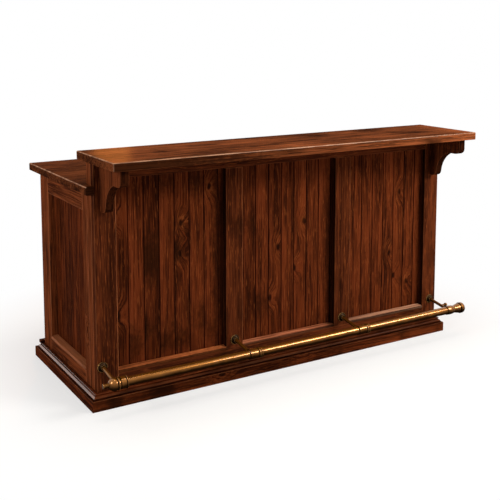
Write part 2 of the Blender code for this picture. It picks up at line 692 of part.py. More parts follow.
def end_cap_profile():
    """The right fitting: a spigot in the tube, a slim neck, a flare, a groove and a domed end."""
    start = -CAP_END_LENGTH
    band = -CAP_END_DOME - CAP_END_BAND
    cut = band - GROOVE_WIDTH
    spigot = BORE_RADIUS - GAP
    neck = start + CAP_END_NECK_LENGTH / 2
    profile = [(start - SPIGOT_LENGTH, 0.0), (start - SPIGOT_LENGTH, spigot), (start, spigot)]
    profile += [(start, COLLAR_RADIUS - ROUNDING), (start + ROUNDING, COLLAR_RADIUS)]
    profile += [(start + 2 * ROUNDING, COLLAR_RADIUS), (neck, CAP_END_NECK + ROUNDING / 2)]
    profile.append((start + CAP_END_NECK_LENGTH, CAP_END_NECK))
    profile.append((cut - CAP_END_FLARE_LENGTH, CAP_END_NECK + ROUNDING))
    profile += [(cut - CAP_END_FLARE_LENGTH / 3, CAP_END_FLARE - ROUNDING), (cut - ROUNDING, CAP_END_FLARE)]
    profile += [(cut, CAP_END_FLARE - GROOVE_DEPTH), (band, CAP_END_FLARE - GROOVE_DEPTH)]
    profile += [(band, CAP_END_RADIUS - ROUNDING), (band + ROUNDING, CAP_END_RADIUS)]
    profile += arc((-CAP_END_DOME, 0.0), (CAP_END_DOME, CAP_END_RADIUS), 1.0, 0.0, 8)[:-1]
    profile.append((0.0, 0.0))
    return profile


def foot_rail():
    """The tube, its brackets and its two end fittings."""
    places = [LEFT_BRACKET_IN, STILE_2_MIDDLE, STILE_3_MIDDLE, CASE_LENGTH - RIGHT_BRACKET_IN]
    tube_start = places[0] + SLEEVE_START + GAP
    length = CAP_END_START - GAP - tube_start
    profile = [(0.0, BORE_RADIUS), (0.0, RAIL_RADIUS), (length, RAIL_RADIUS), (length, BORE_RADIUS)]
    place("rail_tube", turned(profile, 0), (tube_start, -RAIL_OUT, RAIL_HEIGHT), BRASS, True)
    bore_length = tube_start + length - places[0] + RAIL_OUT
    bore = turned([(0.0, 0.0), (0.0, SOCKET_RADIUS), (bore_length, SOCKET_RADIUS), (bore_length, 0.0)], 0)
    bore_tool = tool("collar_bore", bore, (tube_start + RAIL_OUT, -RAIL_OUT, RAIL_HEIGHT))

    wall_end = ARM_RUN - ARM_SOCKET
    for i, x in enumerate(places):
        axis = (x, -RAIL_OUT, RAIL_HEIGHT)
        aim = (x, -RAIL_OUT, RAIL_HEIGHT + ARM_AIM)
        rod = tool(f"arm_rod_{i + 1}", rod_on_arm(ARM_RADIUS, ARM_RADIUS, wall_end), aim)
        if i == 0:
            grip = place("rail_ball_end", turned(ball_end_profile(), 0), axis, BRASS, True)
            combine(grip, rod, 'UNION')
        else:
            outline = collar_profile() if i < 3 else last_collar_profile(CAP_END_START - GAP - x)
            grip = place(f"rail_bracket_{i + 1}", turned(outline, 0), axis, BRASS, True)
            combine(grip, rod, 'UNION')
            combine(grip, bore_tool, 'DIFFERENCE')

        bell = [(0.0, 0.0), (0.0, FLANGE_RADIUS), (FLANGE_RIM, FLANGE_RADIUS)]
        sweep = (FLANGE_DEPTH - FLANGE_RIM - FLANGE_LIP, FLANGE_RADIUS - FLANGE_BOSS)
        bell += arc((FLANGE_DEPTH, FLANGE_RADIUS), sweep, 2.0, 3.0, 5)[1:]
        bell += [(FLANGE_DEPTH + FLANGE_LIP, FLANGE_BOSS), (FLANGE_DEPTH + FLANGE_LIP, 0.0)]
        bell = [(-GAP - along, radius) for along, radius in bell]
        flange = place(f"rail_flange_{i + 1}", turned(bell, 1), (x, 0.0, FLANGE_HEIGHT), BRONZE, True)
        clearance = tool(f"arm_socket_{i + 1}",
                         rod_on_arm(ARM_RADIUS + GAP, RAIL_OUT - 2 * FLANGE_RADIUS, wall_end + GAP), aim)
        combine(flange, clearance, 'DIFFERENCE')

    knob = [(0.0, 0.0), (0.0, PIN_RADIUS), (PIN_LENGTH, PIN_RADIUS), (PIN_LENGTH, KNOB_RADIUS - ROUNDING)]
    knob += [(PIN_LENGTH + ROUNDING, KNOB_RADIUS), (PIN_LENGTH + KNOB_LENGTH - 2 * ROUNDING, KNOB_RADIUS)]
    knob += [(PIN_LENGTH + KNOB_LENGTH, KNOB_RADIUS - 2 * ROUNDING), (PIN_LENGTH + KNOB_LENGTH, 0.0)]
    pin_place = (places[3], -RAIL_OUT + PIN_FROM_RAIL * cos(ARM_SLOPE),
                 RAIL_HEIGHT + ARM_AIM + PIN_FROM_RAIL * sin(ARM_SLOPE))
    pin = tool("knob_pin", turned(knob, 0, SMALL_TURN_STEPS), pin_place)
    combine(grip, pin, 'UNION')

    place("rail_end_cap", turned(end_cap_profile(), 0), (RAIL_TIP, -RAIL_OUT, RAIL_HEIGHT), BRASS, True)


def stand_over_origin():
    """Moves the counter so that the middle of its footprint is over the origin."""
    bpy.context.view_layer.update()
    graph = bpy.context.evaluated_depsgraph_get()
    corners = []
    for obj in COUNTER.children:
        if not obj.hide_render:
            seen = obj.evaluated_get(graph)
            corners += [seen.matrix_world @ Vector(corner) for corner in seen.bound_box]
    for axis in (0, 1):
        values = [corner[axis] for corner in corners]
        COUNTER.location[axis] = -(min(values) + max(values)) / 2
    bpy.context.view_layer.update()


clear_scene()
COUNTER = bpy.data.objects.new("counter", None)
bpy.context.scene.collection.objects.link(COUNTER)
front_frame()
front_boards()
knee_wall()
shelving([end_frame("left"), end_frame("right")])
tops()
corbels()
skirting()
foot_rail()
stand_over_origin()
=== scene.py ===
"""A bar counter as it looks: knotty pine stained dark red-brown, and a turned brass foot rail."""
import json
from itertools import count
from math import asin, cos, hypot, pi, radians, sin

import bmesh
import bpy
from mathutils import Matrix, Vector


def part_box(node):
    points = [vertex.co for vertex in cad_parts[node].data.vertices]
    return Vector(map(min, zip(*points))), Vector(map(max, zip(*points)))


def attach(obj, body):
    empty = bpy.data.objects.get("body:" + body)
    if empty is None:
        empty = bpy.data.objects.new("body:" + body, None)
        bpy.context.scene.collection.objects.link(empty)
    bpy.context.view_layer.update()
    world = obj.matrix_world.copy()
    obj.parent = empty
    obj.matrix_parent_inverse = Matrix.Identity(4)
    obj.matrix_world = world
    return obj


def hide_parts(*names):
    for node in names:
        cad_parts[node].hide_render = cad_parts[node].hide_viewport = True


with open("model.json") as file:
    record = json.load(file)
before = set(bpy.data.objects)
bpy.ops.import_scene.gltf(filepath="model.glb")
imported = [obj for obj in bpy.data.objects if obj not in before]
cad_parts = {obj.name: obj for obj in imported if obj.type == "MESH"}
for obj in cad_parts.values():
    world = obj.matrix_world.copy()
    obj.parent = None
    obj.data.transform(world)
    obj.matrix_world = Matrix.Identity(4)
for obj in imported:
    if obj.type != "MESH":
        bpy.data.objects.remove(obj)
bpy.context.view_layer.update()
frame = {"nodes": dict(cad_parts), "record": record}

scene = bpy.context.scene
scene.view_settings.view_transform = 'Standard'

# Camera
# It stands a customer's height up, off the counter's left end, and looks slightly down. The lens
# is shifted downwards as well, which keeps the uprights nearly upright.
camera = bpy.data.objects.new("camera", bpy.data.cameras.new("camera"))
scene.collection.objects.link(camera)
camera.data.lens = 63.83
camera.data.shift_y = -0.24
camera.location = (-2.2298, -3.5996, 1.5877)
camera.rotation_euler = (radians(83.2212), 0.0, radians(-31.0709))
scene.camera = camera


# Studio
# A pale floor that fades into a white surround, with softboxes round the counter: a large one in
# front, one over it, one beside its left end, a small one behind that draws the tops' gloss, and a
# low one behind that shines into the bays.
def add_node(tree, kind, feeds=None, **settings):
    """Adds a shader node, makes its settings, and feeds its inputs with values or other nodes."""
    node = tree.nodes.new(kind)
    for key, value in settings.items():
        setattr(node, key, value)
    for key, value in (feeds or {}).items():
        if isinstance(value, bpy.types.NodeSocket):
            tree.links.new(value, node.inputs[key])
        else:
            node.inputs[key].default_value = value
    return node


def calc(tree, operation, *values):
    """Adds a sum, a product or another piece of arithmetic, and returns its result."""
    return add_node(tree, 'ShaderNodeMath', dict(enumerate(values)), operation=operation).outputs[0]


def smooth_step(tree, value, low, high, out_low=0.0, out_high=1.0):
    """Adds a soft ramp from one value to another."""
    feeds = {0: value, 1: low, 2: high, 3: out_low, 4: out_high}
    return add_node(tree, 'ShaderNodeMapRange', feeds, interpolation_type='SMOOTHSTEP').outputs[0]


def seen_rays(tree):
    """Which rays should see the white surround: the camera's, and those from gloss and glass."""
    path = add_node(tree, 'ShaderNodeLightPath')
    clear = calc(tree, 'MAXIMUM', path.outputs["Is Glossy Ray"], path.outputs["Is Transmission Ray"])
    return calc(tree, 'MAXIMUM', path.outputs["Is Camera Ray"], clear)


scene.world = bpy.data.worlds.new("white_surround")
scene.world.use_nodes = True
surround = scene.world.node_tree
surround.nodes.clear()
fill = add_node(surround, 'ShaderNodeBackground', {0: (1.0, 0.98, 0.95, 1.0), 1: 0.15})
seen = add_node(surround, 'ShaderNodeBackground', {0: (1.0, 1.0, 1.0, 1.0), 1: 1.0})
both = add_node(surround, 'ShaderNodeMixShader',
                {0: seen_rays(surround), 1: fill.outputs[0], 2: seen.outputs[0]})
add_node(surround, 'ShaderNodeOutputWorld', {0: both.outputs[0]})

floor_radius = 14.0
floor_level = -0.0005
floor_mesh = bpy.data.meshes.new("floor")
bm = bmesh.new()
bmesh.ops.create_circle(bm, cap_ends=True, segments=96, radius=floor_radius)
bmesh.ops.translate(bm, vec=(0.0, 0.0, floor_level), verts=bm.verts)
bm.to_mesh(floor_mesh)
bm.free()
floor = bpy.data.objects.new("floor", floor_mesh)
scene.collection.objects.link(floor)
pale = bpy.data.materials.new("pale_floor")
pale.use_nodes = True
tree = pale.node_tree
tree.nodes.clear()
where = add_node(tree, 'ShaderNodeTexCoord').outputs["Object"]
away = add_node(tree, 'ShaderNodeVectorMath', {0: where}, operation='LENGTH').outputs["Value"]
fade_start, fade_end = 0.9, 1.8
white_at_start, white_at_end = 0.55, 1.0
fading = smooth_step(tree, away, fade_start, fade_end, white_at_start, white_at_end)
faded = calc(tree, 'MULTIPLY', fading, seen_rays(tree))
matt = add_node(tree, 'ShaderNodeBsdfPrincipled',
                {"Base Color": (0.86, 0.86, 0.86, 1.0), "Roughness": 0.9, "Specular IOR Level": 0.0})
white = add_node(tree, 'ShaderNodeEmission', {0: (1.0, 1.0, 1.0, 1.0), 1: 1.0})
mixed = add_node(tree, 'ShaderNodeMixShader', {0: faded, 1: matt.outputs[0], 2: white.outputs[0]})
add_node(tree, 'ShaderNodeOutputMaterial', {0: mixed.outputs[0]})
floor_mesh.materials.append(pale)


def softbox(name, place, aim, size, power, colour=(1.0, 1.0, 1.0)):
    """A rectangular lamp that the camera doesn't see."""
    lamp = bpy.data.objects.new(name, bpy.data.lights.new(name, 'AREA'))
    lamp.data.shape = 'RECTANGLE'
    lamp.data.size, lamp.data.size_y = size
    lamp.data.energy = power
    lamp.data.color = colour
    lamp.location = place
    lamp.rotation_euler = (Vector(aim) - Vector(place)).to_track_quat('-Z', 'Y').to_euler()
    lamp.visible_camera = False
    scene.collection.objects.link(lamp)


softbox("front_softbox", (2.75, -3.2, 2.85), (0.4, -0.2, 0.5), (2.2, 1.0), 245.0, (1.0, 0.96, 0.90))
softbox("overhead_softbox", (-0.4, -0.4, 3.3), (-0.3, 0.0, 0.6), (1.8, 1.2), 60.0, (1.0, 0.93, 0.82))
softbox("end_softbox", (-3.9, -0.6, 2.2), (-0.9, 0.0, 0.5), (1.6, 1.2), 68.0, (1.0, 0.97, 0.94))
softbox("gloss_softbox", (0.61, 3.39, 1.64), (-0.88, -0.27, 1.067), (0.3, 0.22), 36.0, (1.0, 0.31, 0.05))
softbox("bay_softbox", (0.6, 4.4, 0.75), (0.0, 0.0, 0.45), (1.8, 0.7), 40.0, (1.0, 0.97, 0.93))

# Skirting and cap moulding
# Pine boards mitred round the foot of the case and nailed to it, with an ovolo moulding run along
# the top of them. Their arrises that face up are pale, as wear and as a painted highlight, and the
# faces at the foot of the moulding that don't face up are painted dark as shade.
def pine_group():
    """Builds the grain of stained knotty pine. The grain runs along the third axis."""
    group = bpy.data.node_groups.new("stained_knotty_pine", 'ShaderNodeTree')
    sockets = (("Place", 'NodeSocketVector', None), ("Timber", 'NodeSocketFloat', 0.0),
               ("Arris", 'NodeSocketFloat', 0.0), ("Joint_and_shade", 'NodeSocketFloat', 0.0),
               ("Stain_and_light", 'NodeSocketFloat', 0.0), ("Knot", 'NodeSocketVector', None),
               ("Dark", 'NodeSocketColor', (0.0190, 0.0042, 0.0015, 1.0)),
               ("Light", 'NodeSocketColor', (0.1150, 0.0228, 0.0064, 1.0)),
               ("Worn", 'NodeSocketColor', (0.350, 0.112, 0.038, 1.0)),
               ("Knots", 'NodeSocketFloat', 0.2), ("Clouds", 'NodeSocketFloat', 0.7),
               ("Wear", 'NodeSocketFloat', 0.5), ("Polish", 'NodeSocketFloat', 0.010))
    for name, kind, default in sockets:
        socket = group.interface.new_socket(name, in_out='INPUT', socket_type=kind)
        if default is not None:
            socket.default_value = default
    for name, kind in (("Colour", 'NodeSocketColor'), ("Roughness", 'NodeSocketFloat'),
                       ("Height", 'NodeSocketFloat'), ("Coat", 'NodeSocketFloat')):
        group.interface.new_socket(name, in_out='OUTPUT', socket_type=kind)
    given = group.nodes.new('NodeGroupInput').outputs
    flame_orange = (0.205, 0.049, 0.0125, 1.0)
    stain_and_shade_brown = (0.0150, 0.0042, 0.0014, 1.0)
    heart_black = (0.0045, 0.0018, 0.0009, 1.0)
    joint_and_shade_black = (0.0026, 0.0010, 0.0006, 1.0)

    def stretched(vector, x, y, z):
        """The place with each axis multiplied."""
        feeds = {0: vector, 1: (x, y, z)}
        return add_node(group, 'ShaderNodeVectorMath', feeds, operation='MULTIPLY').outputs[0]

    def noise(vector, scale, detail=2.0, rough=0.5):
        """Soft noise between 0 and 1."""
        feeds = {"Vector": vector, "Scale": scale, "Detail": detail, "Roughness": rough}
        return add_node(group, 'ShaderNodeTexNoise', feeds).outputs["Fac"]

    def laid_over(share, first, second):
        """One colour laid over another."""
        return add_node(group, 'ShaderNodeMix', {0: share, 6: first, 7: second}, data_type='RGBA').outputs[2]

    def swing(value, amount, about=0.5):
        """How far a noise stands from its middle, times an amount."""
        return calc(group, 'MULTIPLY', calc(group, 'SUBTRACT', value, about), amount)

    chance = add_node(group, 'ShaderNodeTexWhiteNoise', {"W": given["Timber"]}, noise_dimensions='1D')
    moved = add_node(group, 'ShaderNodeVectorMath',
                     {0: chance.outputs["Color"], 1: (9.0, 9.0, 17.0), 2: given["Place"]},
                     operation='MULTIPLY_ADD').outputs[0]

    # Knots: some by chance, and those that a piece names
    flat = add_node(group, 'ShaderNodeSeparateXYZ', {0: moved}).outputs
    on_face = add_node(group, 'ShaderNodeCombineXYZ',
                       {0: calc(group, 'ADD', flat[0], flat[1]),
                        1: calc(group, 'MULTIPLY', flat[2], 0.5)}).outputs[0]
    cells = add_node(group, 'ShaderNodeTexVoronoi', {"Vector": on_face, "Scale": 6.0},
                     voronoi_dimensions='2D')
    chosen = add_node(group, 'ShaderNodeSeparateColor', {0: cells.outputs["Color"]}).outputs
    far = calc(group, 'MULTIPLY', calc(group, 'GREATER_THAN', chosen[0], given["Knots"]), 9.0)
    by_chance = calc(group, 'MULTIPLY_ADD', cells.outputs["Distance"], 0.21, far)
    apart = add_node(group, 'ShaderNodeVectorMath', {0: given["Place"], 1: given["Knot"]},
                     operation='SUBTRACT')
    apart = add_node(group, 'ShaderNodeSeparateXYZ', {0: apart.outputs[0]}).outputs
    apart = add_node(group, 'ShaderNodeCombineXYZ',
                     {0: calc(group, 'ADD', apart[0], apart[1]),
                      1: calc(group, 'MULTIPLY', apart[2], 0.6)}).outputs[0]
    named = add_node(group, 'ShaderNodeVectorMath', {0: apart}, operation='LENGTH').outputs["Value"]
    ragged = noise(stretched(moved, 1.0, 1.0, 0.7), 55.0, 3.0, 0.6)
    from_knot = calc(group, 'ADD', calc(group, 'MINIMUM', by_chance, named), swing(ragged, 0.014))
    near_knot = smooth_step(group, from_knot, 0.060, 0.0)

    # Grain, which parts round each knot
    bent = add_node(group, 'ShaderNodeCombineXYZ', {0: calc(group, 'MULTIPLY', near_knot, 0.035)}).outputs[0]
    sawn_from = add_node(group, 'ShaderNodeVectorMath', {0: moved, 1: bent}, operation='ADD').outputs[0]
    sweep = noise(stretched(sawn_from, 1.0, 1.0, 0.12), 6.0, 2.0, 0.45)
    field = calc(group, 'ADD', calc(group, 'MULTIPLY', sweep, 6.0), calc(group, 'MULTIPLY', near_knot, 2.0))
    late_wood = smooth_step(group, calc(group, 'PINGPONG', field, 0.5), 0.16, 0.0)
    streak = noise(stretched(sawn_from, 1.0, 1.0, 0.040), 62.0, 3.0, 0.55)
    fine = noise(stretched(sawn_from, 1.0, 1.0, 0.030), 190.0, 3.0, 0.6)
    fleck = noise(stretched(sawn_from, 1.0, 1.0, 0.07), 260.0, 2.0, 0.6)
    flame = noise(stretched(sawn_from, 1.0, 1.0, 0.30), 70.0, 3.0, 0.55)
    patch = noise(stretched(moved, 1.0, 1.0, 0.36), 10.0, 3.0, 0.55)
    tone = noise(stretched(moved, 1.0, 1.0, 0.25), 4.5, 2.0, 0.5)

    share = calc(group, 'ADD', calc(group, 'ADD', swing(streak, 1.5), swing(fine, 2.5)), swing(tone, 1.3))
    share = calc(group, 'ADD', share, 0.52)
    colour = laid_over(smooth_step(group, share, 0.0, 1.0), given["Dark"], given["Light"])
    flecks = calc(group, 'MULTIPLY', smooth_step(group, fleck, 0.56, 0.70), 0.60)
    flames = calc(group, 'MULTIPLY', smooth_step(group, flame, 0.50, 0.66),
                  calc(group, 'MULTIPLY', near_knot, 0.50))
    colour = laid_over(calc(group, 'ADD', flecks, flames), colour, flame_orange)
    cloud = calc(group, 'ADD', patch, swing(fine, 0.35))
    cloud = calc(group, 'MULTIPLY', smooth_step(group, cloud, 0.56, 0.74), given["Clouds"])
    # Stain darkens blotches of real stain, and also painted shade where a piece sets it for that
    blotch = calc(group, 'ADD', given["Stain_and_light"], calc(group, 'ADD', swing(ragged, 0.9), swing(fine, 0.8)))
    blotch = calc(group, 'MULTIPLY', smooth_step(group, blotch, 0.15, 0.95),
                  smooth_step(group, given["Stain_and_light"], 0.0, 0.15))
    stain_and_light_mark = calc(group, 'MULTIPLY', calc(group, 'MAXIMUM', cloud, blotch), 0.86)
    colour = laid_over(stain_and_light_mark, colour, stain_and_shade_brown)
    tint = smooth_step(group, chance.outputs["Value"], 0.0, 1.0, 0.93, 1.09)
    rings = calc(group, 'SUBTRACT', 1.0, calc(group, 'MULTIPLY', late_wood, 0.20))
    # A Stain below nothing makes the wood paler, which the tops use for painted sheen and reflection
    paler_below_nothing = calc(group, 'MAXIMUM', calc(group, 'MULTIPLY_ADD', given["Stain_and_light"], -0.9, 1.0), 1.0)
    bright = calc(group, 'MULTIPLY', calc(group, 'MULTIPLY', tint, rings), paler_below_nothing)
    colour = add_node(group, 'ShaderNodeVectorMath', {0: colour, 3: bright}, operation='SCALE').outputs[0]
    heart = smooth_step(group, from_knot, 0.0130, 0.0050)
    colour = laid_over(calc(group, 'MULTIPLY', heart, 0.85), colour, heart_black)
    # Joint darkens joints and end grain, and also painted shade in recesses and under parts
    colour = laid_over(calc(group, 'MULTIPLY', given["Joint_and_shade"], 0.93), colour, joint_and_shade_black)
    # Arrises take a pale colour: wear, and a painted highlight where a piece picks the arrises that face the
    # light
    tone_change = smooth_step(group, noise(stretched(moved, 1.0, 1.0, 0.3), 30.0, 3.0), 0.35, 0.65, 0.35, 1.0)
    tone_change = calc(group, 'MULTIPLY', calc(group, 'MULTIPLY', given["Arris"], given["Wear"]), tone_change)
    colour = laid_over(tone_change, colour, given["Worn"])
    roughness = calc(group, 'MULTIPLY_ADD', streak, 0.20, 0.34)
    height = calc(group, 'MULTIPLY_ADD', fine, 0.6, calc(group, 'MULTIPLY', late_wood, -0.3))
    open_face = calc(group, 'SUBTRACT', 1.0, given["Joint_and_shade"])
    coat = calc(group, 'MULTIPLY', calc(group, 'MULTIPLY_ADD', given["Arris"], 7.0, 1.0), given["Polish"])
    coat = calc(group, 'MULTIPLY', coat, open_face)
    add_node(group, 'NodeGroupOutput', {0: colour, 1: roughness, 2: height, 3: coat})
    return group


pine = pine_group()


def stained_pine(name, along, gloss=0.24, **values):
    """A wood finish whose grain runs along X, Y or Z, with a gloss that is soft or sharp."""
    finish = bpy.data.materials.new(name)
    finish.use_nodes = True
    tree = finish.node_tree
    shader = tree.nodes["Principled BSDF"]
    order = {'X': (1, 2, 0), 'Y': (2, 0, 1), 'Z': (0, 1, 2)}[along]
    wood = add_node(tree, 'ShaderNodeGroup', node_tree=pine)
    here = add_node(tree, 'ShaderNodeTexCoord').outputs["Object"]
    knot = add_node(tree, 'ShaderNodeAttribute', attribute_name="knot").outputs["Vector"]
    for name, where in (("Place", here), ("Knot", knot)):
        axes = add_node(tree, 'ShaderNodeSeparateXYZ', {0: where}).outputs
        feeds = {i: axes[j] for i, j in enumerate(order)}
        turned_axes = add_node(tree, 'ShaderNodeCombineXYZ', feeds).outputs[0]
        tree.links.new(turned_axes, wood.inputs[name])
    for name in ("Timber", "Arris", "Joint_and_shade", "Stain_and_light"):
        marked = add_node(tree, 'ShaderNodeAttribute', attribute_name=name.lower()).outputs["Fac"]
        tree.links.new(marked, wood.inputs[name])
    for key, value in values.items():
        wood.inputs[key].default_value = value
    bump = add_node(tree, 'ShaderNodeBump',
                    {"Strength": 0.35, "Distance": 0.0006, "Height": wood.outputs["Height"]})
    tree.links.new(wood.outputs["Colour"], shader.inputs["Base Color"])
    tree.links.new(wood.outputs["Roughness"], shader.inputs["Roughness"])
    tree.links.new(wood.outputs["Coat"], shader.inputs["Coat Weight"])
    tree.links.new(bump.outputs[0], shader.inputs["Normal"])
    shader.inputs["Specular IOR Level"].default_value = 0.0
    shader.inputs["Coat Roughness"].default_value = gloss
    return finish


touching = 0.00002


def joined_faces(node):
    """The faces of a CAD solid, with its triangles joined up again."""
    bm = bmesh.new()
    bm.from_mesh(frame["nodes"][node].data)
    bmesh.ops.remove_doubles(bm, verts=bm.verts, dist=touching)
    bmesh.ops.dissolve_limit(bm, angle_limit=radians(0.5), verts=bm.verts, edges=bm.edges)
    return bm


def planed(low, high, arris=0.0028):
    """A board between two corners, with rounded arrises."""
    bm = bmesh.new()
    bmesh.ops.create_cube(bm, size=1.0)
    bmesh.ops.scale(bm, vec=high - low, verts=bm.verts)
    bmesh.ops.translate(bm, vec=(low + high) / 2, verts=bm.verts)
    bmesh.ops.bevel(bm, geom=bm.edges[:], offset=arris, segments=3, profile=0.5, affect='EDGES', material=-1)
    return bm


def sliced(bm, axis, pitch):
    """Cuts a piece's faces across at a pitch, so that its stain can vary along them."""
    low = min(vert.co[axis] for vert in bm.verts)
    high = max(vert.co[axis] for vert in bm.verts)
    across = Vector((axis == 0, axis == 1, axis == 2))
    for k in range(1, int((high - low) / pitch)):
        bmesh.ops.bisect_plane(bm, geom=bm.verts[:] + bm.edges[:] + bm.faces[:], dist=touching,
                               plane_co=across * (low + k * pitch), plane_no=across)


def slanted(face):
    """Whether a face is part of an arris, which is the only slanting face on a square board."""
    return max(abs(part) for part in face.normal) < 0.995


def set_in_place(name, bm, finish, nodes):
    """Makes a finished mesh one piece of the counter, in the place of its CAD solids."""
    mesh = bpy.data.meshes.new(name)
    bm.to_mesh(mesh)
    bm.free()
    mesh.materials.append(finish)
    piece = bpy.data.objects.new(name, mesh)
    scene.collection.objects.link(piece)
    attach(piece, "root")
    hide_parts(*nodes)
    return piece


timber_numbers = count(1)
nowhere = Vector((0.0, 0.0, -9.0))


def fix_timber(name, bm, finish, slot, *nodes, arris_wear_and_highlight=slanted):
    """Numbers a piece's timber, marks its arrises, and puts it in the place of CAD solids."""
    bm.normal_update()
    number = bm.faces.layers.float.get("timber")
    if number is None:
        number = bm.faces.layers.float.new("timber")
        value = next(timber_numbers)
        for face in bm.faces:
            face[number] = value
    arris = bm.faces.layers.float.new("arris")
    for face in bm.faces:
        face[arris] = float(arris_wear_and_highlight(face))
    if "joint_and_shade" not in bm.faces.layers.float:
        bm.faces.layers.float.new("joint_and_shade")
    if "stain_and_light" not in bm.verts.layers.float:
        bm.verts.layers.float.new("stain_and_light")
    if "knot" not in bm.faces.layers.float_vector:
        knot = bm.faces.layers.float_vector.new("knot")
        for face in bm.faces:
            face[knot] = nowhere
    return set_in_place(name, bm, finish, nodes)


skirting_along_x = stained_pine("skirting_pine_x", 'X', Knots=0.25, Light=(0.1500, 0.0310, 0.0080, 1.0))
skirting_along_y = stained_pine("skirting_pine_y", 'Y', Knots=0.25)
cap_along_x = stained_pine("cap_pine_x", 'X', Knots=0.0, Wear=0.25)
cap_along_y = stained_pine("cap_pine_y", 'Y', Knots=0.0, Polish=0.22)

# Darker places on the front skirting: how far along, half length, depth. It is also darker towards
# the left end, and paler towards the right.
dark_spots = ((-0.67, 0.10, 1.0), (-0.89, 0.06, 0.9), (0.28, 0.03, 0.6), (0.67, 0.03, 0.6), (0.92, 0.04, 0.6))
dark_at_left, dark_fall = 0.50, 0.85
stain_pitch = 0.03
quirk_height, quirk_shade = 0.010, 0.75

for side in ("front", "back", "left", "right"):
    for run, along_x, along_y in (("skirting", skirting_along_x, skirting_along_y),
                                  ("cap_moulding", cap_along_x, cap_along_y)):
        finish = along_x if side in ("front", "back") else along_y
        bm = joined_faces(f"{run}_{side}")
        if (run, side) == ("skirting", "front"):
            sliced(bm, 0, stain_pitch)
            stain_and_light_mark = bm.verts.layers.float.new("stain_and_light")
            left_end, right_end = (corner.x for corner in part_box("skirting_front"))
            for vert in bm.verts:
                along = vert.co.x
                tone_change = dark_at_left - dark_fall * (along - left_end) / (right_end - left_end)
                scuffed = [deep * (1.0 - ((along - x) / half) ** 2) for x, half, deep in dark_spots]
                vert[stain_and_light_mark] = max([tone_change] + scuffed)
        bm.normal_update()
        shaded = bm.faces.layers.float.new("joint_and_shade")
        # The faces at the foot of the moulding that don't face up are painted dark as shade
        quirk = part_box(f"{run}_{side}")[0].z + quirk_height
        for face in bm.faces:
            if run == "cap_moulding" and face.normal.z < 0.3 and face.calc_center_median().z < quirk:
                face[shaded] = quirk_shade
        # Arrises that face up are pale, as wear and as a painted highlight
        fix_timber(f"{run}_{side}_pine", bm, finish, "dark_wood", f"{run}_{side}",
                   arris_wear_and_highlight=lambda face: 0.3 < face.normal.z < 0.98)

# Front frame
# Corner stiles, mid stiles and rails of planed pine, tenoned together and fixed over the boards.
# Every arris is rounded over, so it catches the light and loses its stain; its pale colour is also
# a painted highlight, strongest on the arrises that face right or up.
frame_tone = {"Dark": (0.0220, 0.0052, 0.0020, 1.0), "Light": (0.0880, 0.0195, 0.0060, 1.0)}
upright_pine = stained_pine("frame_pine_upright", 'Z', Knots=0.0, **frame_tone)
level_pine = stained_pine("frame_pine_level", 'X', Knots=0.0, **frame_tone)
flank_pitch = 0.006
flank_shade_most, flank_shade_at_face, flank_shade_fall = 0.92, 1.05, 0.55
# How pale the arrises are, as wear and as a painted highlight: most on the left corner stile
corner_wear_and_highlight, other_wear_and_highlight, rail_wear_and_highlight = 1.8, 1.0, 0.15


def worn_and_highlit_right(face):
    """Arrises that face right or up are palest: a painted highlight as well as wear."""
    return slanted(face) * (1.0 if max(face.normal.x, face.normal.z) > 0.1 else 0.25)


# The flanks that face left, away from the light, are painted dark as shade, most next to their
# front arris
for node in ("front_corner_stile_left", "front_corner_stile_right", "front_mid_stile_1", "front_mid_stile_2"):
    low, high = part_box(node)
    bm = planed(low, high)
    sliced(bm, 1, flank_pitch)
    bm.normal_update()
    shaded = bm.faces.layers.float.new("joint_and_shade")
    for face in bm.faces:
        if face.normal.x < -0.9 and "left" not in node:
            into_recess = (face.calc_center_median().y - low.y) / (high.y - low.y)
            face[shaded] = min(flank_shade_most, flank_shade_at_face - flank_shade_fall * into_recess)
    wear_and_highlight_amount = corner_wear_and_highlight if "left" in node else other_wear_and_highlight
    fix_timber(f"{node}_pine", bm, upright_pine, "dark_wood", node,
               arris_wear_and_highlight=lambda face: wear_and_highlight_amount * worn_and_highlit_right(face))
for node in ("front_top_rail", "front_bottom_rail"):
    fix_timber(f"{node}_pine", planed(*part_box(node)), level_pine, "dark_wood", node,
               arris_wear_and_highlight=lambda face: slanted(face) * rail_wear_and_highlight)

# Sills of the front panels
# A thin nosed strip under each run of boards, sloped a little so that spills run off. Its upper
# side is pale along the whole front as a painted highlight, and its faces that don't face up are
# painted dark as shade.
nose_shade = 0.88

